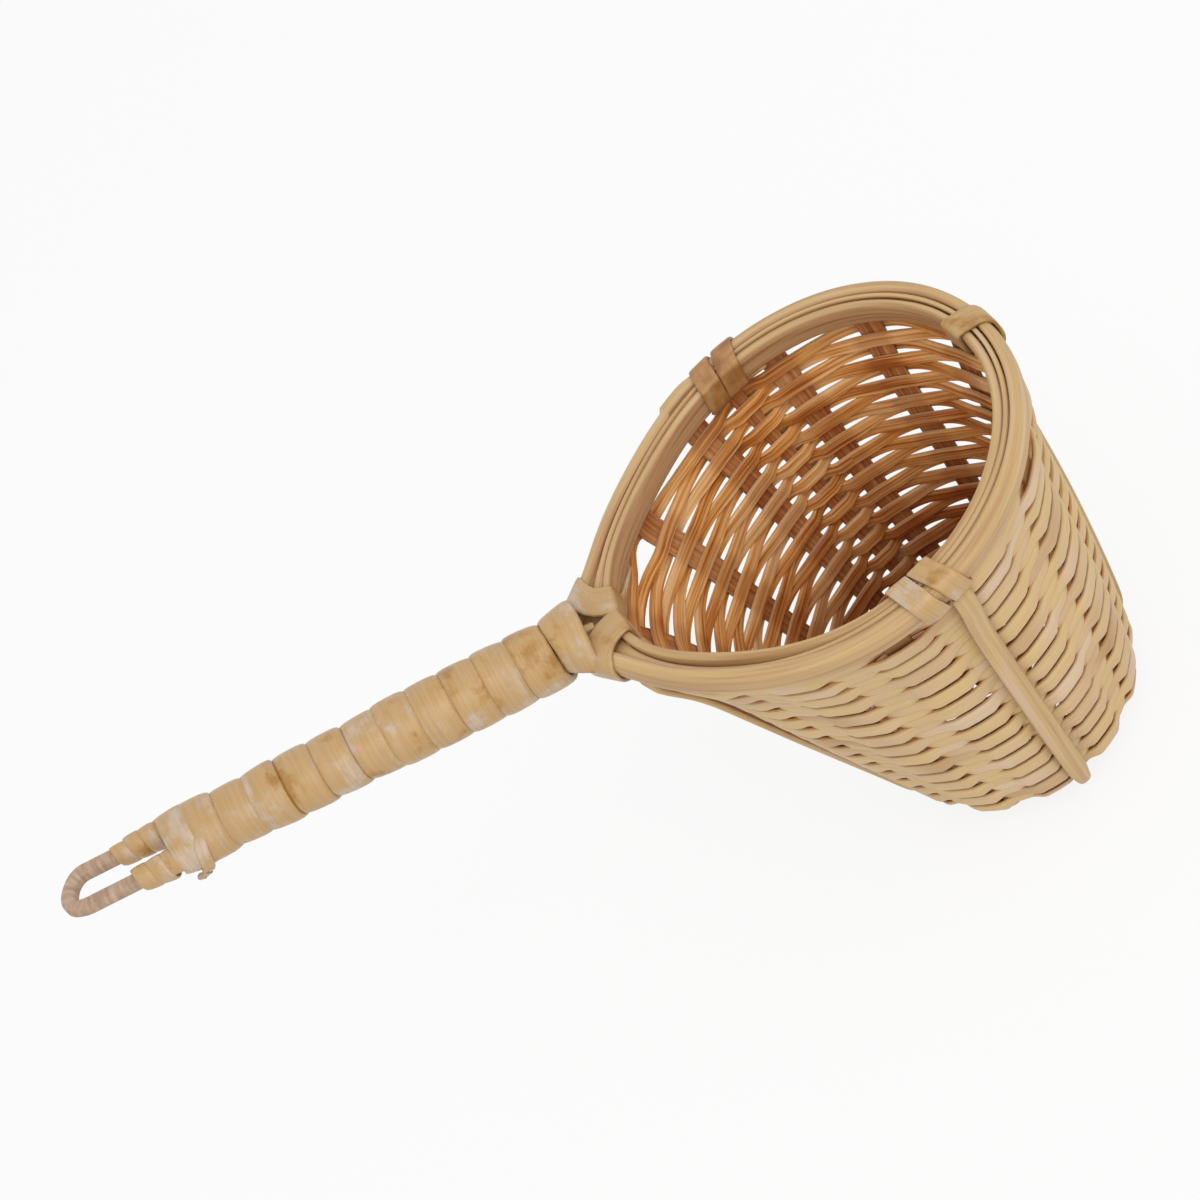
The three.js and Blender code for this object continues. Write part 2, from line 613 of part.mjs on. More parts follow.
// A binding round both hoops, centred on a plan angle and wound towards either side. Its inner points lie on
// the rim's frame and its outer points on the outer hoop's, which differ where that hoop leaves the rim
function rimBinding({ name, at, wide, turns, towards }) {
  const reach = CLEAR + BINDING_THICK / 2;
  const low = new THREE.Vector2(-INNER_HOOP_THICK - reach, -INNER_HOOP_TALL - reach);
  const high = new THREE.Vector2(HOOP_SLOT + OUTER_HOOP_THICK + reach, reach);
  const outline = boxOutline(low, high, reach + CLEAR);
  const pitch = wide + TURN_GAP;
  const innerRadius = rimFrame(radians(at), 0, 0).origin.length() - INNER_HOOP_THICK - CLEAR - BINDING_THICK;
  const frameAt = (along, place) => {
    const theta = radians(at) + (towards * (along - (pitch * turns) / 2)) / innerRadius;
    if (place.x < 0) {
      const { origin, normal, around } = rimFrame(theta, 0, RIM_HEIGHT);
      return { origin, side: normal, rise: UP, axis: around };
    }
    const { point, thick, heading } = hoopAt(theta);
    const side = new THREE.Vector3(heading.y, -heading.x, 0).normalize();
    point.addScaledVector(side, thick - OUTER_HOOP_THICK - HOOP_SLOT);
    point.addScaledVector(UP, OUTER_HOOP_TALL / 2);
    return { origin: point, side, rise: UP, axis: heading };
  };
  const outlineAt = () => outline;
  const first = 8; // the outline's point under the inner hoop
  addWinding(name, { outlineAt, frameAt, pitch, turns, wide, thick: BINDING_THICK, first }, WRAP_STRIP);
}

[...LASHINGS, ...STRAPS].forEach(rimBinding);

// Handle

function coreTall(length) {
  return mapLinear(length, CORE_START, CORE_END, CORE_TALL_ROOT, CORE_TALL_TAIL);
}

function handleCore() {
  const section = (length) =>
    fourCorners(handlePoint(length, 0, 0), HANDLE_SIDE, HANDLE_UP, CORE_THICK, coreTall(length));
  return skin([section(CORE_START), section(CORE_END)]);
}
addPiece("handle_core", handleCore(), BAMBOO);

// The loop's legs lie along the core and spread towards its end
const LEG_SIDE = CORE_THICK / 2 + CLEAR + LOOP_DIAMETER / 2;

function legSide(length) {
  const share = smoothstep(length, WRAP_END - LEGS_SPREAD, WRAP_END + LEGS_SPREAD);
  return lerp(LEG_SIDE, LOOP_HALF, share);
}

// Outline of a strip's middle line round the core and what lies beside it
function handleOutline(length, wide, thick) {
  const flare = Math.max(0, 1 - (length - WRAP_FROM) / (HOOP_JOIN + WRAP_WIDE / 2 - WRAP_FROM));
  const reach = CLEAR + thick / 2;
  const hoopSide = CORE_THICK / 2 + CLEAR + HOOP_END_THICK;
  const loopSide = legSide(length + wide / 2) + LOOP_DIAMETER / 2;
  const halfSide = Math.max(hoopSide, loopSide) + reach + ROOT_FLARE * flare;
  return ellipseOutline(halfSide, coreTall(length) / 2 + reach + ROOT_SWELL * flare);
}

function handleFrame(length) {
  return { origin: handlePoint(length, 0, 0), side: HANDLE_SIDE, rise: HANDLE_UP, axis: HANDLE_AXIS };
}

addWinding(
  "handle_wrap",
  {
    outlineAt: (along) => handleOutline(WRAP_FIRST + along, WRAP_WIDE, WRAP_THICK),
    frameAt: (along) => handleFrame(WRAP_FIRST + along),
    pitch: WRAP_PITCH,
    turns: WRAP_TURNS,
    wide: WRAP_WIDE,
    thick: WRAP_THICK,
  },
  WRAP_STRIP,
);

// Hanging loop: two legs beside the core and a half circle

const BEND_AT = LOOP_TIP - LOOP_HALF - LOOP_DIAMETER / 2;

// Frame on a leg's own line, which turns a little as the leg spreads
function legFrame(length, way) {
  const point = (at) => handlePoint(at, -way * legSide(at), 0);
  const nudge = 1e-3;
  const axis = point(length + nudge).sub(point(length - nudge)).normalize();
  return { origin: point(length), side: HANDLE_UP.clone().cross(axis), rise: HANDLE_UP, axis };
}

function hangLoop() {
  const leg = [HOOP_END + CLEAR];
  for (let i = 0; i <= LEG_STEPS; i++) leg.push(WRAP_END + lerp(-LEGS_SPREAD, LEGS_SPREAD, i / LEG_STEPS));
  const legAt = (way, turn) => leg.map((length) => ({ length, side: way * legSide(length), turn }));
  const stations = legAt(-1, 0);
  for (let i = 0; i <= BEND_STEPS; i++) {
    const turn = (Math.PI * i) / BEND_STEPS;
    const side = LOOP_SKEW * Math.sin(turn) ** 2 - LOOP_HALF * Math.cos(turn);
    stations.push({ length: BEND_AT + LOOP_HALF * Math.sin(turn), side, turn });
  }
  stations.push(...legAt(1, Math.PI).reverse());
  const rings = stations.map(({ length, side, turn }) => {
    const middle = handlePoint(length, side, 0);
    const across = HANDLE_AXIS.clone().multiplyScalar(Math.sin(turn));
    across.addScaledVector(HANDLE_SIDE, -Math.cos(turn));
    return Array.from({ length: LOOP_SIDES }, (_, j) => {
      const angle = (2 * Math.PI * (j + 0.5)) / LOOP_SIDES;
      const corner = middle.clone().addScaledVector(across, (LOOP_DIAMETER / 2) * Math.cos(angle));
      return corner.addScaledVector(HANDLE_UP, (LOOP_DIAMETER / 2) * Math.sin(angle));
    });
  });
  return skin(rings);
}
addPiece("hang_loop", hangLoop(), CANE);

const TAIL_AT = WRAP_END + TURN_GAP + TAIL_BINDING_WIDE / 2;
const TAIL_PITCH = TAIL_BINDING_WIDE + TURN_GAP;
const TAIL_END = TAIL_AT + TAIL_TURNS * TAIL_PITCH + TAIL_BINDING_WIDE / 2;
const LEG_WRAP_AT = TAIL_END + TURN_GAP + LEG_WRAP_WIDE / 2;

for (const { name, side, turns } of LEG_WRAPS) {
  const radius = LOOP_DIAMETER / 2 + CLEAR + LEG_WRAP_THICK / 2;
  addWinding(
    name,
    {
      outlineAt: () => ellipseOutline(radius, radius),
      frameAt: (along) => legFrame(LEG_WRAP_AT + along, side),
      pitch: LEG_WRAP_WIDE + TURN_GAP,
      turns,
      wide: LEG_WRAP_WIDE,
      thick: LEG_WRAP_THICK,
    },
    WRAP_STRIP,
  );
}

// One turn over both legs and the end of the core, whose cut end runs off straight
function runOff(rings) {
  const last = rings[rings.length - 1];
  const before = rings[rings.length - 2];
  const end = last.map((corner, k) => {
    const heading = corner.clone().sub(before[k]).normalize();
    return corner.clone().addScaledVector(heading, TAIL_NUB);
  });
  return [end];
}
addWinding(
  "tail_binding",
  {
    outlineAt: (along) => handleOutline(TAIL_AT + along, TAIL_BINDING_WIDE, TAIL_BINDING_THICK),
    frameAt: (along) => handleFrame(TAIL_AT + along),
    pitch: TAIL_PITCH,
    turns: TAIL_TURNS,
    wide: TAIL_BINDING_WIDE,
    thick: TAIL_BINDING_THICK,
    hand: -1,
  },
  WRAP_STRIP,
  runOff,
);

export default strainer;
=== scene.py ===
"""Bamboo tea strainer: a basket in plain weave, a rim of two hoops and a wrapped handle with a hanging loop.

Sizes are in metres and angles in radians. The basket's axis is +Z and the handle points towards -X.
Every strip is a capped prism that is cut into rings, and each ring is set on its own place along the strip.
"""

import math
from collections import namedtuple

import bmesh
import bpy
from bpy.props import FloatProperty, FloatVectorProperty, PointerProperty
from mathutils import Matrix, Vector, noise


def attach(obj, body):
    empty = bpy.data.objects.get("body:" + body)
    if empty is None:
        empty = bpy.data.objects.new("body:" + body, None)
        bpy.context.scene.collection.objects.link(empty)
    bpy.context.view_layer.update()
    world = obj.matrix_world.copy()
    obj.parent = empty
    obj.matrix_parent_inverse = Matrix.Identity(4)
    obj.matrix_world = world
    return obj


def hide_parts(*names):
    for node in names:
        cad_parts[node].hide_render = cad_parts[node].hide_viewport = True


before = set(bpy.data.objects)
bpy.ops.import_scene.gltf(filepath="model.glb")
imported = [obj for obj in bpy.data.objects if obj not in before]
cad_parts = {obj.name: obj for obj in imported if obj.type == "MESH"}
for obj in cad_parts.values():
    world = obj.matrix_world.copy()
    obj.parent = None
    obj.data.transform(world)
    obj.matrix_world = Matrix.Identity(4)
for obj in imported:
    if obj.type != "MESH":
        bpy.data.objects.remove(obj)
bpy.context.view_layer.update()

bl_info = {
    "name": "Bamboo tea strainer",
    "version": (1, 0, 0),
    "blender": (4, 5, 0),
    "location": "View3D > Sidebar > Strainer",
    "description": "Builds a hand-woven bamboo tea strainer with a wrapped handle",
    "category": "Add Mesh",
}

MM = 0.001
UP = Vector((0, 0, 1))
DOWN = Vector((0, 0, -1))
WHITE = (1, 1, 1, 1)
radians = math.radians

# Clearances
CLEAR = 0.25 * MM
TURN_GAP = 0.5 * MM
SEAM_GAP = 0.1 * MM  # left between two turns that lie edge to edge

# Rim
HOOP_THIN_AT = radians(-5)  # where the outer hoop is thinnest
HOOP_THIN_SPREAD = radians(35)
HOOP_LEAVE = radians(28)  # from the handle, where the outer hoop leaves the rim
HOOP_BUTT = radians(0.4)  # half the gap between the inner hoop's ends
HOOP_SLANT = 0.6  # least slant for which the outer hoop's side is measured beside the handle
# A scarf joint thickens the outer hoop at the back and ends in a step
SCARF_FROM = radians(103)
SCARF_FULL = radians(111)
SCARF_END = radians(117.5)
SCARF_RISE = 0.7 * MM
# Hand work: share or depth of an unevenness, and the plan angle in radians over which it changes
BAND_UNEVEN = (0.04, 0.4)
BAND_DIP = (0.1 * MM, 0.5)
HOOP_UNEVEN = (0.03, 0.3)
FILLER_SINK = 1.6 * MM  # the filler lies deeper near the handle, which leaves a dark slot
FILLER_SINK_AT = radians(212)
FILLER_SINK_SPREAD = radians(26)
FILLER_END = radians(3)  # either side of the handle
FILLER_THICKEST = 7 * MM
FILLER_NOSE_THICK = 4.6 * MM
FILLER_NOSE_SINK = 2.2 * MM
FILLER_NOSE_SPREAD = radians(7)
FILLER_TIGHT_SPREAD = radians(16)  # the filler is jammed between the hoops near the handle

# Basket
TUCK_FADE = 17
DRAW_FADE = 1.5
STRIP_COUNT = 6
STAKE_TURN = radians(26)
STAKE_THICK_CENTRE = 0.4 * MM
EXTRA_STAKE_TURN = radians(101)
EXTRA_STAKE_SHARE = 0.6
SPIRAL_START_STAKE = 5
WEAVER_LENGTHS = 6
BASE_ROUNDS = 1.5
TALL_PLUMP = 1.19  # bent strips stand a little fuller than their plain solids
TALL_OVER_STAKE = 0.16  # and fuller still by this share where they pass a stake
TALL_FRONT = 0.36  # more of the same on the outside of the front
THICK_PLUMP = 1.2
WEAVE_HUG = 0.86  # the weavers lie close on the stakes
WEAVER_LEAD = radians(160)  # loose end of the first weaver
LEAD_EASE = -0.5  # share of its length before its start at which it would lie in the wall's middle
# Hand work: size of an unevenness of the rows and the length over which it changes
ROW_WANDER = (0.06 * MM, 9 * MM)
ROW_LEAN = (0.08, 12 * MM)
ROW_UNEVEN = (0.03, 14 * MM)
FRONT = (0.25, 0.6)  # sines of the plan angle, from the side, at which the front starts and is full
# A hole under the rim beside a stake: its place, and how far the first rows give way there in mm
HOLE_AT = radians(151.5)
HOLE_SPREAD = radians(4)
HOLE_GIVE = (-1.9, 0.6, 0.3)
# Share of the space between two stakes in which a weaver changes sides, slack at the back and tight in front
EASE_SLACK = 2
EASE_TIGHT = 0.75
STAKE_TOP = 3 * MM  # the stakes end this far under the rim's top, between the hoops
RIB_PARED = 0.45  # the ribs are pared narrower by this share to bend under the base
RIB_PARE_FROM = -3 * MM  # past the foot
RIB_PARE_TO = 4.5 * MM
# Ribs: plan angles in degrees at the front or right end, under the base and at the other end
RIBS = (
    ("rib_front_back", 287, 276.5, 97),
    ("rib_side", 18, 9, -166),
)

# Cut ends
CUT_EASE = 0.15 * MM  # an end is softened by this much
RIB_EASE = 0.2 * MM
NUB_EASE = 0.3 * MM

# Bindings
BINDING_HUG = 0.1 * MM  # the bindings are drawn tight over the hoops
BINDING_CORNER = 2.2 * MM  # radius over the outer hoop
BINDING_LIFT = 0.4  # share of the hoops' height over which a binding turns aside
# Lashings: plan angle, turns, how far the turns spread apart inside the rim, and the way that they go on
LASHINGS = (
    ("lashing_front", 282.5, 1.75, 1, -1),
    ("lashing_right", 11.5, 1.15, 1, 1),
    ("lashing_back", 99, 2, 0.95, 1),
)
# Straps: plan angle under the hoops, and how far they turn towards the nose over the inner and the outer hoop
STRAPS = (
    ("root_strap_front", 190.5, -6.3, -1.8),
    ("root_strap_back", 165, 11, 5),
)
STRAP_TURNS = 0.98

# Handle
CORE_START = 2.8 * MM
CORE_TAIL = 4 * MM
CORE_PARED = 0.45  # the slat's end is pared down to this share of its height
ROOT_SWELL = 0.6 * MM
LOOP_SKEW = 1 * MM
LEGS_SPREAD = 6 * MM
LEG_WRAPS = (("leg_wrap_front", -1, 87.2), ("leg_wrap_back", 1, 89.4))  # side and end along the handle in mm
LEG_WRAP_FULL = 2.7 * MM  # outer radius beside the handle, from which the leg wraps taper
LEG_WRAP_TAPER = -0.3  # share of a leg wrap's length at which that would start
LEG_WRAP_TUCK = 0.8 * MM  # the leg wraps start this far inside the broad turn
TAIL_TURNS = 0.98
TAIL_PAST = 1.2 * MM  # from the end of the wrap to the turn over both legs
TAIL_BROAD = 5 * MM  # width of that turn
TAIL_TILT = radians(-7)  # its far edge is drawn in
TAIL_UNDER = 2.8 * MM  # on the back and underside it reaches over the end of the wrap
TAIL_UNDER_FULL = 0.6  # in full where it faces back and down by this share
TAIL_SKEW = 1.2 * MM  # that turn lies further from the loop on the front
# Crossing strip and its nub: share of a turn, place past the wrap's end and lift in mm
TAIL_CROSSING = (
    (0.15, 0.2, -0.9),
    (0.11, 0.4, 0),
    (0.04, 0.7, 0.15),
    (-0.04, 1.1, 0.25),
    (-0.1, 1.8, 0.6),
    (-0.12, 2.9, 1.2),
    (-0.12, 4, 0.9),
)
CROSSING_PARTS = 4  # rings between two of these places
SHINGLE = radians(3)  # tilt of a turn, so that one edge lies over the next turn
SHINGLE_TURN = (0.2, 0.5)  # shares of the wrap between which the tilt changes to the other way
WRAP_TAIL = 0.75  # turns that the wrap runs on over the loop's legs
WRAP_LEAD = 2.7 * MM  # the wrap starts this much earlier, under the straps
WRAP_FULLNESS = 0.25 * MM
WRAP_PLUMP = 1.6  # each turn is rounded up in its middle
WRAP_OVERLAP = 0.35 * MM  # each turn lies a little over the next
WRAP_SWELLS = ((60, 3, 0.3), (76, 4, 0.2))  # place, spread and rise in mm
WRAP_STEP = 40.3 * MM  # the wrap steps down here, where a new strip was begun
WRAP_STEP_RISE = 0.4 * MM
WRAP_STEP_SWELL = (0.2, 0.6)  # shares of the way to the step between which the wrap swells to it
# Hand work: size of an unevenness of the wrap and the length over which it changes
WRAP_UNEVEN = (0.18 * MM, 7 * MM)
WRAP_WANDER = (0.5 * MM, 11 * MM)
UNDERSIDE = 5 / 8  # share of a turn where the wrap is furthest under the handle
ADVANCE_UNDER = 0.75  # most of a turn's advance is made there, so that turns lie square on top

# Finishes
GRAIN = (0.3, 0.7)  # range of a fibre pattern
SHADE_DEEPEST_AT = 10 * MM  # heights at which the painted shade inside is deepest and at which it ends
SHADE_ENDS_AT = 52 * MM
CROSSING_SHADE = (0.12, 0.28)  # shares of the way between two stakes over which the painted shade at a crossing fades
CROSSING_SHADE_LEFT = 0.56  # share of the unshaded tone that is left at a crossing, under the painted shade

# Stage
CAMERA_AZIMUTH = radians(16.07)
CAMERA_ELEVATION = radians(42.66)
CAMERA_ROLL = radians(-46.87)
CAMERA_DISTANCE = 470.5 * MM
CAMERA_SHIFT = (-33.0 * MM, -20.2 * MM)
CAMERA_LENS = 90
CAMERA_SENSOR = 36
CAMERA_CLIP = 10 * MM
FLOOR_HALF = 2
FLOOR_SHADOW = 0.15  # share of the floor that shows light and shadow to the camera
WORLD_LIGHT = 0.66
PAPER = (0.9, 0.9, 0.9, 1)
LAMP_AIM = Vector((0, 0, 50 * MM))
# Soft lamps: direction from the aim, distance and size in metres, and power in watts
LAMPS = (
    ("key_softbox", Vector((0.47, -0.3, 0.84)), 0.9, 0.6, 1.25),
    ("front_fill", Vector((0.15, -0.62, 0.8)), 1.0, 0.7, 2.6),
)

# Facets
TABLE_STEPS = 80
HOOP_STEPS = 220
BEND_STEPS = 24
WALL_STEPS = 46
CORNER_STEPS = 8
BASE_STEPS = 6
SPAN_PARTS = (0, 0.07, 0.15, 0.25, 0.37, 0.5, 0.63, 0.75, 0.85, 0.93)  # rings between two stakes
TURN_STEPS = 48
LEG_STEPS = 30
LOOP_STEPS = 36

Station = namedtuple("Station", "origin across out half_wide half_thick")
Outline = namedtuple("Outline", "u v nu nv share")


def linear(code):
    """Linear colour of an sRGB hex value."""
    parts = [int(code[i : i + 2], 16) / 255 for i in (1, 3, 5)]
    return tuple(p / 12.92 if p <= 0.04045 else ((p + 0.055) / 1.055) ** 2.4 for p in parts)


def length(name, description, millimetres):
    """A size of a piece, given in millimetres."""
    return FloatProperty(name=name, description=description, default=millimetres * MM, min=0, unit="LENGTH")


def colour(name, description, code):
    """A colour of a finish, given as a hex value."""
    return FloatVectorProperty(
        name=name, description=description, default=linear(code), size=3, min=0, max=1, subtype="COLOR"
    )


class StrainerRim(bpy.types.PropertyGroup):
    """Sizes of the rim and what is bound round it"""

    seam_radius: length("Seam radius", "Outer face of the inner hoop, away from the handle", 33)
    rim_draw: length("Draw", "How far the rim is drawn out towards the handle", 7.2)
    rim_draw_spread: FloatProperty(
        name="Draw spread",
        description="Angle either side of the handle over which the draw fades",
        default=radians(22),
        unit="ROTATION",
    )
    rim_height: length("Rim height", "Top of the rim above the table", 79)
    inner_hoop_thick: length("Inner hoop thickness", "Thickness of the flat band inside the wall", 1.7)
    inner_hoop_tall: length("Inner hoop height", "Height of the flat band inside the wall", 4.5)
    outer_hoop_thick: length("Outer hoop thickness", "Thickness of the half-round strip outside the wall", 3)
    outer_hoop_thin: length("Outer hoop thin side", "Its thickness on the side away from the handle", 1.9)
    outer_hoop_tall: length("Outer hoop height", "Height of the half-round strip", 4.2)
    filler_tall: length("Filler height", "Height of the strand over the stake ends", 1.2)
    binding_thick: length("Binding thickness", "Thickness of the lashings and straps", 0.7)
    lashing_wide: length("Lashing width", "Width of the front and back lashings", 4.1)
    lashing_right_wide: length("Right lashing width", "Width of the lashing on the right", 5.2)
    strap_wide: length("Strap width", "Width of the two straps at the handle's root", 5.8)


class StrainerBasket(bpy.types.PropertyGroup):
    """Sizes of the woven basket"""

    foot_radius: length("Foot radius", "Middle of the weave where the wall turns into the base", 22.3)
    wall_curve: FloatProperty(name="Wall curve", description="1 is straight, more is rounder", default=1.56)
    wall_tuck: length("Wall tuck", "How far the wall steps in under the hoops", 2.65)
    corner_radius: length("Corner radius", "Radius between the wall and the base", 6)
    stake_thick: length("Stake thickness", "Thickness of the upright strips", 0.8)
    stake_wide_rim: length("Stake width at the rim", "Width of a stake at its top", 4.9)
    stake_wide_foot: length("Stake width at the foot", "Width of a stake at the base", 3.6)
    stake_wide_centre: length("Stake width at the centre", "Width where the strips cross under the base", 2.2)
    row_pitch: length("Row pitch", "Distance from one row of the weave to the next", 2.3)
    weaver_tall: length("Weaver width", "Width of the strip that is woven round", 1.9)
    weaver_thick: length("Weaver thickness", "Thickness of the strip that is woven round", 0.8)
    rib_wide: length("Rib width", "Width of the two outer ribs", 3.6)
    rib_thick: length("Rib thickness", "Thickness of the two outer ribs", 1.2)


class StrainerHandle(bpy.types.PropertyGroup):
    """Sizes of the handle and the loop"""

    handle_rise: FloatProperty(
        name="Rise", description="Angle of the handle above the rim", default=radians(12.5), unit="ROTATION"
    )
    handle_drop: length("Drop", "Handle's axis below the rim's top where it meets the seam", 1.8)
    core_thick: length("Core thickness", "Thickness of the slat inside the handle", 1.7)
    core_tall_root: length("Core height at the root", "Height of the slat at the rim", 8.4)
    core_tall_tail: length("Core height at the tail", "Height of the slat at its far end", 5.6)
    hoop_join: length("Hoop join", "Where the hoop's ends lie along the slat", 12)
    hoop_end: length("Hoop end", "Where the hoop's ends stop inside the wrap", 44)
    hoop_end_thick: length("Hoop end thickness", "Thickness of the hoop inside the wrap", 2.8)
    wrap_from: length("Wrap start", "Where the wrap begins along the handle", 7)
    wrap_turns: FloatProperty(name="Wrap turns", description="Number of turns of the wrap", default=10.25)
    wrap_wide: length("Wrap width", "Width of the wrapped strip", 5.5)
    wrap_thick: length("Wrap thickness", "Thickness of the wrapped strip", 0.85)
    loop_diameter: length("Loop diameter", "Diameter of the cane", 2.9)
    loop_half: length("Loop half width", "From the handle's axis to the middle of a leg", 3.6)
    loop_reach: length("Loop reach", "From the end of the wrap to the loop's tip", 26)
    leg_wrap_thick: length("Leg wrap thickness", "Thickness of the strips round the loop's legs", 0.75)
    leg_wrap_wide: length("Leg wrap width", "Width of the strips round the loop's legs", 2.65)
    tail_wide: length("Tail binding width", "Width of the crossing strip at the tail", 2.2)
    tail_thick: length("Tail binding thickness", "Thickness of the crossing strip at the tail", 0.9)


class StrainerColours(bpy.types.PropertyGroup):
    """Main colours of the finishes"""

    outside: colour("Outside", "Skin side of the woven strips", "#D9B78A")
    inside: colour("Inside", "Tea-stained inner side of the woven strips", "#EDAA5E")
    hoop: colour("Hoops and ribs", "Scraped bamboo of the rim and the ribs", "#C7A273")
    band: colour("Inner band", "Inner side of the rim's flat band", "#C79B6F")
    wrap: colour("Wrap", "Peeled strip round the handle", "#C8A068")
    loop: colour("Loop", "Dry cane of the hanging loop", "#B99B83")


def smooth(value, low, high):
    """Smooth step from 0 at low to 1 at high."""
    part = min(max((value - low) / (high - low), 0), 1)
    return part * part * (3 - 2 * part)


def lerp(a, b, part):
    return a + (b - a) * part


def signed_angle(theta):
    """Plan angle from -180 to 180 degrees."""
    return math.atan2(math.sin(theta), math.cos(theta))


def hump(theta, middle, spread):
    """Smooth rise to 1 at a middle angle."""
    return math.exp(-0.5 * (signed_angle(theta - middle) / spread) ** 2)


def wobble(seed, run, size, period):
    """Slow unevenness of hand work along a strip, up to a size either way."""
    return size * noise.noise(Vector((run / period, 17.3 * seed, 3.1 * seed)))


class Plan:
    """Places that the pieces share, worked out from the sizes."""

    def __init__(self):
        scene = bpy.context.scene
        for group in (scene.strainer_rim, scene.strainer_basket, scene.strainer_handle):
            for key in type(group).__annotations__:
                setattr(self, key, getattr(group, key))
        self.hoop_slot = self.stake_thick + 2 * CLEAR
        self.top_radius = self.seam_radius + self.hoop_slot / 2
        self.weave_offset = self.stake_thick / 2 + CLEAR + self.weaver_thick / 2
        self.rib_offset = self.weave_offset + self.weaver_thick / 2 + CLEAR + self.rib_thick / 2
        self.rib_level = self.rib_thick + CLEAR
        self.base_level = self.rib_offset + self.rib_level + self.rib_thick / 2
        self.under_rim_at = max(self.inner_hoop_tall, self.outer_hoop_tall) + 2 * CLEAR + self.binding_thick
        self.rim_band = self.under_rim_at + self.weaver_tall
        self.place_wall()
        self.place_rows()
        self.place_handle()
        self.place_hoop()

    def place_wall(self):
        rise = self.rim_height - self.rim_band - self.base_level - self.corner_radius
        run = self.top_radius - self.wall_tuck - self.foot_radius
        self.foot_lean = math.atan2(run * self.wall_curve, rise)
        foot_height = self.base_level + self.corner_radius * (1 - math.sin(self.foot_lean))
        self.base_radius = self.foot_radius - self.corner_radius * math.cos(self.foot_lean)
        self.wall_height = self.rim_height - self.rim_band - foot_height
        self.wall_table = [self.rim_band]
        for i in range(1, TABLE_STEPS + 1):
            step = self.wall_radius(0, i / TABLE_STEPS) - self.wall_radius(0, (i - 1) / TABLE_STEPS)
            self.wall_table.append(self.wall_table[-1] + math.hypot(self.wall_height / TABLE_STEPS, step))
        self.foot_at = self.wall_table[-1]
        self.base_at = self.foot_at + self.corner_radius * (math.pi / 2 - self.foot_lean)
        self.centre_at = self.base_at + self.base_radius

    def place_rows(self):
        self.first_row_at = self.under_rim_at + self.weaver_tall / 2
        self.last_row_at = self.base_at + self.row_pitch / 2
        self.rounds = round((self.last_row_at - self.first_row_at) / self.row_pitch)
        self.wall_pitch = (self.last_row_at - self.first_row_at) / self.rounds
        weave_inner = self.centre_at - self.last_row_at - 2 * BASE_ROUNDS * self.row_pitch
        self.spread_radius = weave_inner - self.weaver_tall / 2 - CLEAR
        step = math.pi / STRIP_COUNT
        self.crossing_radius = self.stake_wide_centre / 2 / math.sin(step / 2) + CLEAR
        self.even_stakes = [(STAKE_TURN + (SPIRAL_START_STAKE + i) * step, 1) for i in range(2 * STRIP_COUNT)]
        self.start = self.even_stakes[0][0]
        extra = self.start + (EXTRA_STAKE_TURN - self.start) % (2 * math.pi)
        self.odd_stakes = sorted([*self.even_stakes, (extra, EXTRA_STAKE_SHARE)])

    def place_handle(self):
        self.axis = Vector((-math.cos(self.handle_rise), 0, math.sin(self.handle_rise)))
        self.side = Vector((0, -1, 0))
        self.rise = self.axis.cross(self.side)
        nose = -self.seam_radius - self.rim_draw
        self.handle_origin = Vector((nose, 0, self.rim_height - self.handle_drop))
        self.wrap_pitch = self.wrap_wide + TURN_GAP
        self.wrap_first = self.wrap_from + self.wrap_wide / 2
        self.wrap_end = self.wrap_first + self.wrap_turns * self.wrap_pitch + self.wrap_wide / 2
        self.core_end = self.wrap_end + CORE_TAIL
        self.loop_tip = self.wrap_end + self.loop_reach

    def place_hoop(self):
        line = self.hoop_line()
        self.hoop_seats = [(math.atan2(point.y, point.x), point, thick) for point, thick in line]
        self.hoop_beside = []
        for (point, thick), (following, _) in zip(line, line[1:]):
            offset = point - self.handle_origin
            along = offset.dot(self.axis)
            if point.y < 0 and along > 0:
                slant = abs((following - point).normalized().dot(self.axis))
                self.hoop_beside.append((along, offset.dot(self.side) + thick / max(slant, HOOP_SLANT)))
        self.hoop_beside.sort()

    def hoop_at(self, theta):
        """Flat face of the outer hoop at a plan angle, with its thickness and its direction."""
        turn = signed_angle(theta)
        seats = self.hoop_seats
        i = next((i for i, seat in enumerate(seats) if i and seat[0] >= turn), len(seats) - 1)
        (low_turn, a, thin), (high_turn, b, thick) = seats[i - 1], seats[i]
        part = (turn - low_turn) / (high_turn - low_turn)
        return a.lerp(b, part), lerp(thin, thick, part), (b - a).normalized()

    def hoop_side(self, along):
        """How far the outer hoop reaches beside the handle."""
        beside = self.hoop_beside
        i = next((i for i, pair in enumerate(beside) if i and pair[0] >= along), len(beside) - 1)
        (low, a), (high, b) = beside[i - 1], beside[i]
        return lerp(a, b, min(max((along - low) / (high - low), 0), 1))

    def drawn_out(self, theta):
        return self.rim_draw * hump(theta, math.pi, self.rim_draw_spread)

    def hoop_thick(self, theta):
        return lerp(self.outer_hoop_thick, self.outer_hoop_thin, hump(theta, HOOP_THIN_AT, HOOP_THIN_SPREAD))

    def wall_radius(self, theta, share):
        """Radius of the weave at a share of the wall's height, 0 under the rim and 1 at the foot."""
        reach = self.top_radius - self.wall_tuck - self.foot_radius
        tuck = self.wall_tuck * (1 - share) ** TUCK_FADE * (1 + TUCK_FADE * share)
        drawn = self.drawn_out(theta) * (1 - share) ** DRAW_FADE
        return self.foot_radius + reach * (1 - share**self.wall_curve) + tuck + drawn

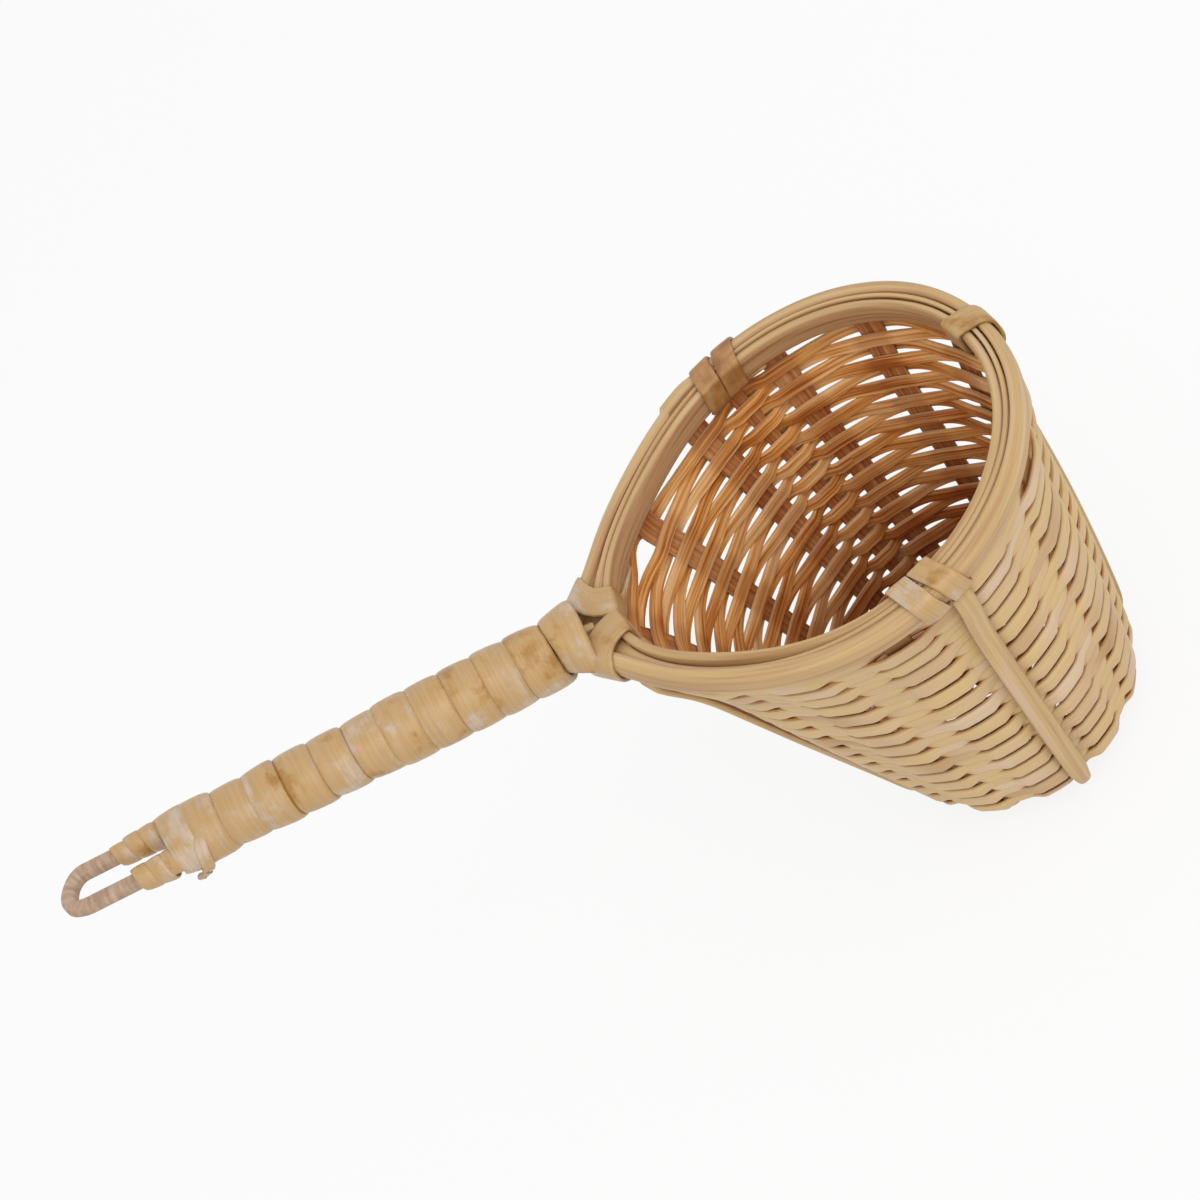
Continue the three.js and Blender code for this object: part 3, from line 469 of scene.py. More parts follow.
    def wall_share(self, at):
        i = next(i for i, reached in enumerate(self.wall_table) if i and reached >= at)
        before = self.wall_table[i - 1]
        return (i - 1 + (at - before) / (self.wall_table[i] - before)) / TABLE_STEPS

    def sheet_point(self, theta, at):
        """Middle of the weave at a distance from the rim's top, down the wall and in over the base."""
        radius = self.base_radius - (at - self.base_at)
        height = self.base_level
        if at < self.rim_band:
            radius = self.wall_radius(theta, 0)
            height = self.rim_height - at
        elif at < self.foot_at:
            share = self.wall_share(at)
            radius = self.wall_radius(theta, share)
            height = self.rim_height - self.rim_band - share * self.wall_height
        elif at < self.base_at:
            turn = self.foot_lean + (at - self.foot_at) / self.corner_radius
            radius = self.base_radius + self.corner_radius * math.cos(turn)
            height = self.base_level + self.corner_radius * (1 - math.sin(turn))
        return Vector((radius * math.cos(theta), radius * math.sin(theta), height))

    def sheet_frame(self, theta, at):
        """The sheet's point with its directions: round the basket, down the wall and out of it."""
        turn = 1e-3
        step = 1e-3 * MM
        around = self.sheet_point(theta + turn, at) - self.sheet_point(theta - turn, at)
        along = self.sheet_point(theta, at + step) - self.sheet_point(theta, at - step)
        around.normalize()
        along.normalize()
        return self.sheet_point(theta, at), around, along, along.cross(around).normalized()

    def rim_frame(self, theta, out, height):
        """Point of the rim moved out from the seam, with its outward and round directions."""

        def place(angle):
            return Vector((math.cos(angle), math.sin(angle), 0)) * (self.seam_radius + self.drawn_out(angle))

        turn = 1e-3
        around = (place(theta + turn) - place(theta - turn)).normalized()
        normal = Vector((around.y, -around.x, 0))
        origin = place(theta) + normal * out
        origin.z = height
        return origin, normal, around

    def handle_point(self, along, side, rise):
        return self.handle_origin + self.axis * along + self.side * side + self.rise * rise

    def stake_wide(self, at):
        spread_at = self.centre_at - self.spread_radius
        if at < self.foot_at:
            return lerp(self.stake_wide_rim, self.stake_wide_foot, at / self.foot_at)
        part = min((at - self.foot_at) / (spread_at - self.foot_at), 1)
        return lerp(self.stake_wide_foot, self.stake_wide_centre, part)

    def core_tall(self, along):
        part = (along - CORE_START) / (self.core_end - CORE_START)
        return lerp(self.core_tall_root, self.core_tall_tail, part)

    def leg_side(self, along):
        beside = self.core_thick / 2 + CLEAR + self.loop_diameter / 2
        spread = smooth(along, self.wrap_end - LEGS_SPREAD, self.wrap_end + LEGS_SPREAD)
        return lerp(beside, self.loop_half, spread)

    def hoop_line(self):
        """Flat face of the outer hoop as points and thicknesses, from one end in the handle to the other."""
        height = self.rim_height - self.outer_hoop_tall / 2
        leave = math.pi - HOOP_LEAVE
        line = []
        for i in range(HOOP_STEPS + 1):
            theta = leave * (2 * i / HOOP_STEPS - 1)
            line.append((self.rim_frame(theta, self.hoop_slot, height)[0], self.hoop_thick(theta)))
        for way in (-1, 1):
            origin, _, around = self.rim_frame(way * leave, self.hoop_slot, height)
            joined = self.handle_point(self.hoop_join, -way * (self.core_thick / 2 + CLEAR), 0)
            reach = (joined - origin).length / 3
            knots = (origin, origin + around * way * reach, joined - self.axis * reach, joined)
            end = []
            for i in range(1, BEND_STEPS + 1):
                t = i / BEND_STEPS
                shares = ((1 - t) ** 3, 3 * t * (1 - t) ** 2, 3 * t * t * (1 - t), t**3)
                point = sum((knot * share for knot, share in zip(knots, shares)), Vector())
                end.append((point, lerp(self.outer_hoop_thick, self.hoop_end_thick, t)))
            for part in (0.5, 1):
                reached = joined + self.axis * (self.hoop_end - self.hoop_join) * part
                end.append((reached, self.hoop_end_thick))
            line = [*line, *end] if way > 0 else [*reversed(end), *line]
        return line


def section(sides, corner, back=None):
    """Outline of a strip in shares of its half width and thickness. Corner 2 is round, more is squarer."""
    points = []
    for k in range(sides):
        cosine = math.cos(2 * math.pi * k / sides)
        sine = math.sin(2 * math.pi * k / sides)
        power = 2 / (corner if sine >= 0 or back is None else back)
        points.append((math.copysign(abs(cosine) ** power, cosine), math.copysign(abs(sine) ** power, sine)))
    return points


FLAT_STRIP = section(16, 5)
PLUMP_STRIP = section(12, 3.6, 5)
# Split strip with a rounded skin side and a flat inner side
SPLIT_SIDE = ((1, -0.35), (1, 0.35), (0.9, 0.82), (0.6, 1))
SPLIT_STRIP = [*SPLIT_SIDE, *((-x, y) for x, y in reversed(SPLIT_SIDE)), (-0.8, -1), (0.8, -1)]
CRISP_ANGLE = radians(40)
HALF_ROUND = section(16, 2.3, 7)
RIB_STRIP = section(16, 2.5, 7)
WRAP_STRIP = section(16, 2.8, 6)
ROUND_CANE = section(14, 2)


def eased_ends(stations, reach, keep=0.6):
    """Adds a smaller ring at both ends, so that a cut end has a soft edge."""
    eased = list(stations)
    for end, beside, place in ((0, 1, 0), (-1, -2, len(stations) + 1)):
        last = stations[end]
        heading = (last.origin - stations[beside].origin).normalized()
        tip = last._replace(
            origin=last.origin + heading * reach,
            half_wide=last.half_wide - reach,
            half_thick=last.half_thick * keep,
        )
        eased.insert(place, tip)
    return eased


def lay_strip(bm, stations, outline, start=0.0):
    """Adds a strip: a capped prism with a ring for each station, and its own measure along, across and out.

    The measure along begins at start, so that no two strips have the same pattern.
    """
    strip = bm.verts.layers.float_vector.get("strip") or bm.verts.layers.float_vector.new("strip")
    share = bm.verts.layers.float_vector.get("share") or bm.verts.layers.float_vector.new("share")
    sides = len(outline)
    last = len(stations) - 1
    made = bmesh.ops.create_cone(bm, cap_ends=True, segments=sides, radius1=1, radius2=1, depth=1)
    edges = {e for v in made["verts"] for e in v.link_edges if abs(e.verts[0].co.z - e.verts[1].co.z) > 0.5}
    bmesh.ops.subdivide_edges(bm, edges=list(edges), cuts=last - 1, use_grid_fill=True)
    rings = [[] for _ in stations]
    for vert in bm.verts:
        if vert[share].length == 0:
            rings[round((vert.co.z + 0.5) * last)].append(vert)
    run = start
    for i, (station, ring) in enumerate(zip(stations, rings)):
        if i:
            run += (station.origin - stations[i - 1].origin).length
        for vert in ring:
            corner = round(math.atan2(vert.co.y, vert.co.x) * sides / (2 * math.pi)) % sides
            x, y = outline[corner]
            wide = x * station.half_wide
            thick = y * station.half_thick
            vert.co = station.origin + station.across * wide + station.out * thick
            vert[strip] = (run / MM, wide / MM, thick / MM)
            vert[share] = (i / last, x, y)


def finish_piece(name, bm, material, slot, *nodes, crisp=False):
    """Turns a bmesh into a piece that stands for the named solids. A crisp one has sharp edges along it."""
    missing = [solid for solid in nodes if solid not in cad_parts]
    if missing:
        raise RuntimeError(f"{name}: the part has no {missing}")
    bmesh.ops.recalc_face_normals(bm, faces=bm.faces)
    share = bm.verts.layers.float_vector["share"]
    if crisp:
        for edge in bm.edges:
            lengthways = edge.verts[0][share].x != edge.verts[1][share].x
            edge.smooth = not (lengthways and edge.calc_face_angle() > CRISP_ANGLE)
    for face in bm.faces:
        face.smooth = len(face.verts) == 4
        if not face.smooth:
            for edge in face.edges:
                edge.smooth = False
    mesh = bpy.data.meshes.new(name)
    bm.to_mesh(mesh)
    bm.free()
    piece = bpy.data.objects.new(name, mesh)
    bpy.context.scene.collection.objects.link(piece)
    mesh.materials.append(material)
    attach(piece, "root")
    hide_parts(*nodes)


def add_strip(name, stations, outline, material, slot, solid, start=0.0):
    """One strip as a piece of its own."""
    bm = bmesh.new()
    lay_strip(bm, stations, outline, start)
    finish_piece(name, bm, material, slot, solid, crisp=outline is SPLIT_STRIP)


def node(tree, kind, inputs=None, stops=None, **settings):
    """Adds a node with its settings, fills its inputs with values or links, and gives its outputs."""
    made = tree.nodes.new(kind)
    for key, value in settings.items():
        setattr(made, key, value)
    for key, value in (inputs or {}).items():
        if isinstance(value, bpy.types.NodeSocket):
            tree.links.new(value, made.inputs[key])
        else:
            made.inputs[key].default_value = value
    if stops:
        ramp = made.color_ramp
        while len(ramp.elements) < len(stops):
            ramp.elements.new(1)
        for element, (place, shade) in zip(ramp.elements, stops):
            element.position = place
            element.color = (*shade, 1)
    return made.outputs


def strip_material(name):
    """New material with its node tree, and a strip's own measure in mm."""
    material = bpy.data.materials.new(name)
    material.use_nodes = True
    tree = material.node_tree
    return material, tree, node(tree, "ShaderNodeAttribute", attribute_name="strip")["Vector"]


def strip_shares(tree):
    """A strip's own shares: X is 0 to 1 along it, Y is -1 to 1 across and Z is -1 to 1 outwards."""
    share = node(tree, "ShaderNodeAttribute", attribute_name="share")["Vector"]
    return node(tree, "ShaderNodeSeparateXYZ", {"Vector": share})


def streaks(tree, strip, scale, detail):
    """Noise drawn out along a strip. The scale is per millimetre along, across and outwards."""
    drawn = node(tree, "ShaderNodeMapping", {"Vector": strip, "Scale": scale})[0]
    return node(tree, "ShaderNodeTexNoise", {"Vector": drawn, "Scale": 1, "Detail": detail})["Fac"]


def two_faced(tree, outwards, low, high, inner, skin):
    """One tone on a strip's inner face and another on its skin, which meet between two shares outwards."""
    limits = {"Value": outwards, "From Min": low, "From Max": high}
    facing = node(tree, "ShaderNodeMapRange", limits, interpolation_type="SMOOTHSTEP")[0]
    return node(tree, "ShaderNodeMix", {"Factor": facing, 6: inner, 7: skin}, data_type="RGBA")[2]


def grained_with_seam_shade(tree, tone, grain, darkest, across, seam_shade_from, seam_shade_share, seam_shade_code):
    """A tone with darker fibres, and painted shade along both edges of the strip, in the seam to the next
    turn or row.
    """
    limits = {"From Min": GRAIN[0], "From Max": GRAIN[1], "To Min": darkest, "To Max": 1.05}
    shade = node(tree, "ShaderNodeMapRange", {"Value": grain, **limits})[0]
    tones = {"Factor": 1.0, 6: tone, 7: shade}
    grained = node(tree, "ShaderNodeMix", tones, data_type="RGBA", blend_type="MULTIPLY")[2]
    edge = node(tree, "ShaderNodeMath", {0: across}, operation="ABSOLUTE")[0]
    limits = {"From Min": seam_shade_from, "From Max": 1, "To Max": seam_shade_share}
    # cut is the painted shade near each edge of the strip
    cut = node(tree, "ShaderNodeMapRange", {"Value": edge, **limits})[0]
    tones = {"Factor": cut, 6: grained, 7: (*linear(seam_shade_code), 1)}
    return node(tree, "ShaderNodeMix", tones, data_type="RGBA")[2]


def finish_material(material, tone, pattern, limits, roughness, reliefs):
    """Gives the shader its colour, a roughness that follows a pattern, and one relief on another."""
    tree = material.node_tree
    shader = tree.nodes["Principled BSDF"]
    span = {"From Min": limits[0], "From Max": limits[1], "To Min": roughness[0], "To Max": roughness[1]}
    gloss = node(tree, "ShaderNodeMapRange", {"Value": pattern, **span})[0]
    below = {}
    for height, strength, depth in reliefs:
        relief = {"Height": height, "Strength": strength, "Distance": depth}
        below["Normal"] = node(tree, "ShaderNodeBump", {**relief, **below})[0]
    tree.links.new(tone, shader.inputs["Base Color"])
    tree.links.new(gloss, shader.inputs["Roughness"])
    tree.links.new(below["Normal"], shader.inputs["Normal"])
    return material


def woven_bamboo(name, skin_shades, stain_shades, crossing=False):
    """Thin split bamboo, woven: fine fibres along the strip, its own skin outside, tea-stained amber inside.

    The inner face also has painted shade, darker towards the bottom of the basket, and with crossing also
    where the rows cross the stakes.
    """
    material, tree, strip = strip_material(name)
    shares = strip_shares(tree)
    # Fibres about 0.5 mm wide and 20 mm long, and a tint of each row that changes over about 30 mm
    fibre = streaks(tree, strip, (0.05, 2, 2), 4)
    tint = streaks(tree, strip, (0.035, 0, 0), 2)
    skin = node(tree, "ShaderNodeValToRGB", {"Fac": tint}, skin_shades)[0]
    both = node(tree, "ShaderNodeMath", {0: tint, 1: fibre}, operation="ADD")[0]
    mean = node(tree, "ShaderNodeMath", {0: both, 1: 0.5}, operation="MULTIPLY")[0]
    stain = node(tree, "ShaderNodeValToRGB", {"Fac": mean}, stain_shades)[0]
    # Painted shade: the inner face is darker and redder towards the bottom of the basket, where the deep
    # inside lies in shade
    place = node(tree, "ShaderNodeTexCoord")["Object"]
    places = node(tree, "ShaderNodeSeparateXYZ", {"Vector": place})
    limits = {"Value": places["Z"], "From Min": SHADE_DEEPEST_AT, "From Max": SHADE_ENDS_AT}
    unshaded = node(tree, "ShaderNodeMapRange", limits, interpolation_type="SMOOTHSTEP")[0]
    if crossing:
        # Painted shade where the rows cross in front of the stakes, so that a stake reads as one dark band
        pitch = math.pi / STRIP_COUNT
        near, far = CROSSING_SHADE
        turn = node(tree, "ShaderNodeMath", {0: places["Y"], 1: places["X"]}, operation="ARCTAN2")[0]
        past = node(tree, "ShaderNodeMath", {0: turn, 1: STAKE_TURN}, operation="SUBTRACT")[0]
        aside = node(tree, "ShaderNodeMath", {0: past, 1: pitch / 2}, operation="PINGPONG")[0]
        limits = {"Value": aside, "From Min": near * pitch, "From Max": far * pitch, "To Min": CROSSING_SHADE_LEFT}
        apart = node(tree, "ShaderNodeMapRange", limits, interpolation_type="SMOOTHSTEP")[0]
        unshaded = node(tree, "ShaderNodeMath", {0: unshaded, 1: apart}, operation="MULTIPLY")[0]
    # Painted shade colour, mixed in where the inside is shaded and fading to white where it is not
    tones = {"Factor": unshaded, 6: (*linear("#B59080"), 1), 7: WHITE}
    shade_tint = node(tree, "ShaderNodeMix", tones, data_type="RGBA")[2]
    tones = {"Factor": 1.0, 6: stain, 7: shade_tint}
    inner = node(tree, "ShaderNodeMix", tones, data_type="RGBA", blend_type="MULTIPLY")[2]
    tone = two_faced(tree, shares["Z"], -0.7, 0.1, inner, skin)
    # Painted shade along the edges of each row, in the seams between the rows
    tone = grained_with_seam_shade(tree, tone, fibre, 0.9, shares["Y"], 0.8, 0.15, "#7A5029")
    return finish_material(material, tone, fibre, GRAIN, (0.4, 0.62), [(fibre, 0.35, 0.15 * MM)])


def split_bamboo():
    """Thick split bamboo, scraped: long streaks of tan, yellow and pink, browner on the inner face."""
    known = bpy.data.materials.get("scraped split bamboo")
    if known:
        return known
    colours = bpy.context.scene.strainer_colours
    material, tree, strip = strip_material("scraped split bamboo")
    # Streaks about 1 mm wide and 40 mm long, with finer fibres inside them
    streak = streaks(tree, strip, (0.025, 1, 1), 5)
    shades = [
        (0.3, linear("#B28856")),
        (0.45, colours.hoop),
        (0.55, linear("#CFAE74")),
        (0.66, linear("#D8B795")),
    ]
    skin = node(tree, "ShaderNodeValToRGB", {"Fac": streak}, shades)[0]
    shades = [(0.3, linear("#966A3C")), (0.5, colours.band), (0.68, linear("#CCA878"))]
    band = node(tree, "ShaderNodeValToRGB", {"Fac": streak}, shades)[0]
    tone = two_faced(tree, strip_shares(tree)["Z"], -0.9, -0.3, band, skin)
    return finish_material(material, tone, streak, GRAIN, (0.42, 0.62), [(streak, 0.4, 0.2 * MM)])


def peeled_strip(aged=False):
    """Peeled cane strip, wound wet: yellow-tan and mottled, with pale dry patches and a soft shine.

    The darker one is the same strip, browned by tea and with painted shade, for the back lashing, which lies
    in shade.
    """
    name = "tea-stained cane strip" if aged else "peeled cane strip"
    known = bpy.data.materials.get(name)
    if known:
        return known
    shades = [
        (0.4, linear("#B08142")),
        (0.46, bpy.context.scene.strainer_colours.wrap),
        (0.53, linear("#C6A374")),
        (0.59, linear("#CFB79E")),
    ]
    # Darker shades: partly browning by tea, partly painted shade of the back lashing
    if aged:
        shades = [(0.4, linear("#96632F")), (0.5, linear("#B8854E")), (0.59, linear("#CDA97C"))]
    material, tree, strip = strip_material(name)
    # Patches of about 5 mm, and a tint that changes from turn to turn over about 25 mm
    mottled = {"Vector": strip, "Scale": 0.2, "Detail": 4, "Roughness": 0.6}
    patch = node(tree, "ShaderNodeTexNoise", mottled)["Fac"]
    tint = streaks(tree, strip, (0.04, 0, 0), 2)
    blend = node(tree, "ShaderNodeMix", {"Factor": 0.5, 2: patch, 3: tint})[0]
    tone = node(tree, "ShaderNodeValToRGB", {"Fac": blend}, shades)[0]
    # Fibres about 0.4 mm wide and 8 mm long
    fibre = streaks(tree, strip, (0.12, 2.5, 2.5), 3)
    # Painted shade along the edges of each turn, in the seams between the turns
    tone = grained_with_seam_shade(tree, tone, fibre, 0.88, strip_shares(tree)["Y"], 0.95, 0.35, "#5E3F20")
    # Shallow dents of about 3 mm where the strip was bent wet
    dent = node(tree, "ShaderNodeTexNoise", {"Vector": strip, "Scale": 0.35, "Detail": 2})["Fac"]
    reliefs = [(fibre, 0.3, 0.15 * MM), (dent, 0.5, 0.6 * MM)]
    return finish_material(material, tone, patch, (0.35, 0.65), (0.26, 0.52), reliefs)


def dry_cane():
    """Dry cane with its skin off: matt, pinkish tan, with short dark marks across it."""
    material, tree, strip = strip_material("dry cane")
    # Marks about 0.7 mm wide across the cane
    mark = streaks(tree, strip, (1.4, 0.3, 0.3), 4)
    loop = bpy.context.scene.strainer_colours.loop
    shades = [(0.32, linear("#A78870")), (0.5, loop), (0.68, linear("#C9AE98"))]
    tone = node(tree, "ShaderNodeValToRGB", {"Fac": mark}, shades)[0]
    return finish_material(material, tone, mark, GRAIN, (0.55, 0.75), [(mark, 0.4, 0.2 * MM)])


class STRAINER_OT_hoops(bpy.types.Operator):
    """Lays the flat inner hoop, the half-round outer hoop and the filler between them"""

    bl_idname = "strainer.hoops"
    bl_label = "Rim hoops"

    def execute(self, context):
        plan = Plan()
        bamboo = split_bamboo()
        stations = []
        for i in range(HOOP_STEPS + 1):
            theta = math.pi + HOOP_BUTT + 2 * (math.pi - HOOP_BUTT) * i / HOOP_STEPS
            tall = plan.inner_hoop_tall * (1 + wobble(1, theta, *BAND_UNEVEN))
            height = plan.rim_height - plan.inner_hoop_tall / 2 - BAND_DIP[0] - wobble(2, theta, *BAND_DIP)
            origin, normal, _ = plan.rim_frame(theta, -plan.inner_hoop_thick / 2, height)
            stations.append(Station(origin, UP, normal, tall / 2, plan.inner_hoop_thick / 2))
        add_strip("inner_hoop_band", stations, FLAT_STRIP, bamboo, "bamboo", "inner_hoop", 300)

        line = plan.hoop_line()
        stations = []
        for i, (point, thick) in enumerate(line):
            before = line[max(i - 1, 0)][0]
            after = line[min(i + 1, len(line) - 1)][0]
            heading = (after - before).normalized()
            out = Vector((heading.y, -heading.x, 0)).normalized()
            theta = math.atan2(point.y, point.x)
            scarf = SCARF_RISE * smooth(theta, SCARF_FROM, SCARF_FULL) * (theta < SCARF_END)
            thick += scarf
            tall = plan.outer_hoop_tall * (1 + wobble(3, theta, *HOOP_UNEVEN)) + scarf
            centre = point + out * thick / 2
            stations.append(Station(centre, out.cross(heading), out, tall / 2, thick / 2))
        add_strip("outer_hoop_strip", stations, HALF_ROUND, bamboo, "bamboo", "outer_hoop")

        reach = math.pi - FILLER_END
        stations = []
        for i in range(HOOP_STEPS + 1):
            theta = reach * (2 * i / HOOP_STEPS - 1)
            sink = max(
                FILLER_SINK * hump(theta, FILLER_SINK_AT, FILLER_SINK_SPREAD),
                FILLER_NOSE_SINK * hump(theta, math.pi, FILLER_NOSE_SPREAD),
            )
            height = plan.rim_height - plan.filler_tall / 2 - sink
            seam, normal, _ = plan.rim_frame(theta, 0, height)
            thickest = lerp(FILLER_THICKEST, FILLER_NOSE_THICK, hump(theta, math.pi, FILLER_NOSE_SPREAD / 2))
            gap = min(max((plan.hoop_at(theta)[0] - seam).dot(normal), plan.hoop_slot), thickest)
            thick = gap - 2 * CLEAR * (1 - hump(theta, math.pi, FILLER_TIGHT_SPREAD))
            stations.append(Station(seam + normal * gap / 2, UP, normal, plan.filler_tall / 2, thick / 2))
        add_strip("rim_filler_strand", stations, PLUMP_STRIP, bamboo, "bamboo", "rim_filler", 700)
        return {"FINISHED"}


def wall_places(plan, top):
    """Distances of the rings from a top end down the wall and round the corner."""
    places = [lerp(top, plan.foot_at, i / WALL_STEPS) for i in range(WALL_STEPS)]
    corner = plan.base_at - plan.foot_at
    return places + [plan.foot_at + corner * i / CORNER_STEPS for i in range(CORNER_STEPS)]


class STRAINER_OT_stakes(bpy.types.Operator):
    """Bends the crossing strips into stakes and sets the short extra stake between them"""

    bl_idname = "strainer.stakes"
    bl_label = "Stakes"

    def half(self, plan, theta, level, way):
        angle = theta if way > 0 else theta + math.pi
        flat = Vector((-math.sin(theta), math.cos(theta), 0))
        stations = []
        for at in wall_places(plan, STAKE_TOP):
            point, around, _, out = plan.sheet_frame(angle, at)
            stations.append(Station(point, around * way, out, plan.stake_wide(at) / 2, plan.stake_thick / 2))
        lift = level * (STAKE_THICK_CENTRE + CLEAR) + STAKE_THICK_CENTRE / 2
        lift -= plan.weave_offset + plan.weaver_thick / 2
        for i in range(BASE_STEPS + 1):
            radius = lerp(plan.base_radius, plan.crossing_radius, i / BASE_STEPS)
            thin = smooth(radius, plan.base_radius, plan.spread_radius)
            raised = smooth(radius, plan.spread_radius, plan.crossing_radius)
            middle = plan.sheet_point(angle, plan.centre_at - radius) + UP * lift * raised
            thick = lerp(plan.stake_thick, STAKE_THICK_CENTRE, thin)
            wide = plan.stake_wide(plan.centre_at - radius)
            stations.append(Station(middle, flat, DOWN, wide / 2, thick / 2))
        return stations

    def execute(self, context):
        plan = Plan()
        bamboo = woven_bamboo(
            "tea-stained split bamboo",
            # Skin shades darkened as painted shade: the stakes' outer faces show only in the slits between
            # rows, where shade falls
            [(0.3, linear("#7A5230")), (0.5, linear("#94683C")), (0.7, linear("#A87A48"))],
            [(0.38, linear("#97532A")), (0.5, linear("#B87440")), (0.62, linear("#CC9460"))],
        )
        for i in range(STRIP_COUNT):
            theta = STAKE_TURN + i * math.pi / STRIP_COUNT
            stations = self.half(plan, theta, i, 1) + self.half(plan, theta, i, -1)[::-1]
            name = f"stake_strip_{i + 1}"
            add_strip(f"{name}_bamboo", stations, FLAT_STRIP, bamboo, "amber_bamboo", name, 137 * i)
        stations = []
        end = plan.last_row_at + plan.weaver_tall / 4
        for at in [*wall_places(plan, plan.under_rim_at), plan.base_at, end]:
            point, around, _, out = plan.sheet_frame(EXTRA_STAKE_TURN, at)
            wide = EXTRA_STAKE_SHARE * plan.stake_wide(at)
            stations.append(Station(point, around, out, wide / 2, plan.stake_thick / 2))
        add_strip("extra_stake_bamboo", stations, FLAT_STRIP, bamboo, "amber_bamboo", "extra_stake", 953)
        return {"FINISHED"}


def frontness(theta):
    """1 on the basket's front, where the weave is tighter."""
    return smooth(-math.sin(theta), *FRONT)


def weaver_stations(plan, stakes, first, last, distance_at, start_side, seed, lead=None):
    """A weaver that changes sides at each stake, from crossing to crossing, after a loose end."""

    def crossing(n):
        theta, share = stakes[n % len(stakes)]
        middle = theta + 2 * math.pi * (n // len(stakes))
        at = distance_at(middle)
        reach = (share * plan.stake_wide(at) / 2 + CLEAR) / plan.sheet_point(theta, at).xy.length
        return middle, reach, start_side * (-1 if n % 2 else 1)

    turns = []
    for n in range(first, last + 1):
        middle, reach, side = crossing(n)
        if n == first and lead is not None:
            for part in SPAN_PARTS:
                turns.append((lerp(lead, middle - reach, part), side * smooth(part, LEAD_EASE, 1)))
        if n > first or lead is not None:
            turns.append((middle - reach, side))
        turns.append((middle, side))
        if n < last:
            following, next_reach, next_side = crossing(n + 1)
            for part in SPAN_PARTS:
                theta = lerp(middle + reach, following - next_reach, part)
                half = lerp(EASE_SLACK, EASE_TIGHT, frontness(theta)) / 2
                leaving = 1 - smooth(part, 0, half)
                turns.append((theta, side * leaving + next_side * smooth(part, 1 - half, 1)))
    stations = []
    for theta, side in turns:
        at = distance_at(theta)
        run = theta * plan.foot_radius
        point, _, along, out = plan.sheet_frame(theta, at)
        point += out * side * WEAVE_HUG * plan.weave_offset + along * wobble(seed, run, *ROW_WANDER)
        lean = wobble(seed + 5, run, *ROW_LEAN)
        uneven = wobble(seed + 9, run, *ROW_UNEVEN)
        over = TALL_OVER_STAKE * abs(side) + TALL_FRONT * frontness(theta) * max(side, 0)
        tall = TALL_PLUMP * plan.weaver_tall * (1 + over + uneven)
        thick = THICK_PLUMP * plan.weaver_thick
        across = (along + out * lean).normalized()
        stations.append(Station(point, across, (out - along * lean).normalized(), tall / 2, thick / 2))
    return stations


class STRAINER_OT_weavers(bpy.types.Operator):
    """Weaves the wall's spiral and the two strips that close the base"""

    bl_idname = "strainer.weavers"
    bl_label = "Weavers"

    def execute(self, context):
        plan = Plan()
        bamboo = woven_bamboo(
            "pale split bamboo",
            [
                (0.3, linear("#C39A68")),
                (0.44, context.scene.strainer_colours.outside),
                (0.54, linear("#DCBB80")),
                (0.62, linear("#DFBF9C")),
                (0.72, linear("#E6CFA8")),
            ],
            [
                (0.41, linear("#B86824")),
                (0.5, context.scene.strainer_colours.inside),
                (0.58, linear("#F2C890")),
            ],
            crossing=True,
        )
        crossings = plan.rounds * len(plan.odd_stakes)

        def spiral_at(theta):
            row = math.floor((theta - plan.start) / (2 * math.pi))
            give = HOLE_GIVE[row] * MM if 0 <= row < len(HOLE_GIVE) else 0
            at = plan.first_row_at + plan.wall_pitch * (theta - plan.start) / (2 * math.pi)
            return at + give * hump(theta, HOLE_AT, HOLE_SPREAD)

        for i in range(WEAVER_LENGTHS):
            first = round(crossings * i / WEAVER_LENGTHS)
            last = round(crossings * (i + 1) / WEAVER_LENGTHS)
            lead = None if i else WEAVER_LEAD
            stations = weaver_stations(plan, plan.odd_stakes, first, last, spiral_at, 1, i, lead)
            name = f"weaver_{i + 1}"
            add_strip(f"{name}_bamboo", stations, SPLIT_STRIP, bamboo, "amber_bamboo", name, 1211 * i)
        for i in (0, 1):
            start_at = plan.last_row_at + i * plan.row_pitch

            def base_at(theta):
                return start_at + 2 * plan.row_pitch * (theta - plan.start) / (2 * math.pi)

            last = math.floor((BASE_ROUNDS - i / 2) * len(plan.even_stakes))
            side = (1 if crossings % 2 else -1) * (-1 if i else 1)
            stations = weaver_stations(plan, plan.even_stakes, 0, last, base_at, side, 20 + i)
            name = f"base_weaver_{i + 1}"
            add_strip(f"{name}_bamboo", stations, SPLIT_STRIP, bamboo, "amber_bamboo", name, 409 * i)
        return {"FINISHED"}


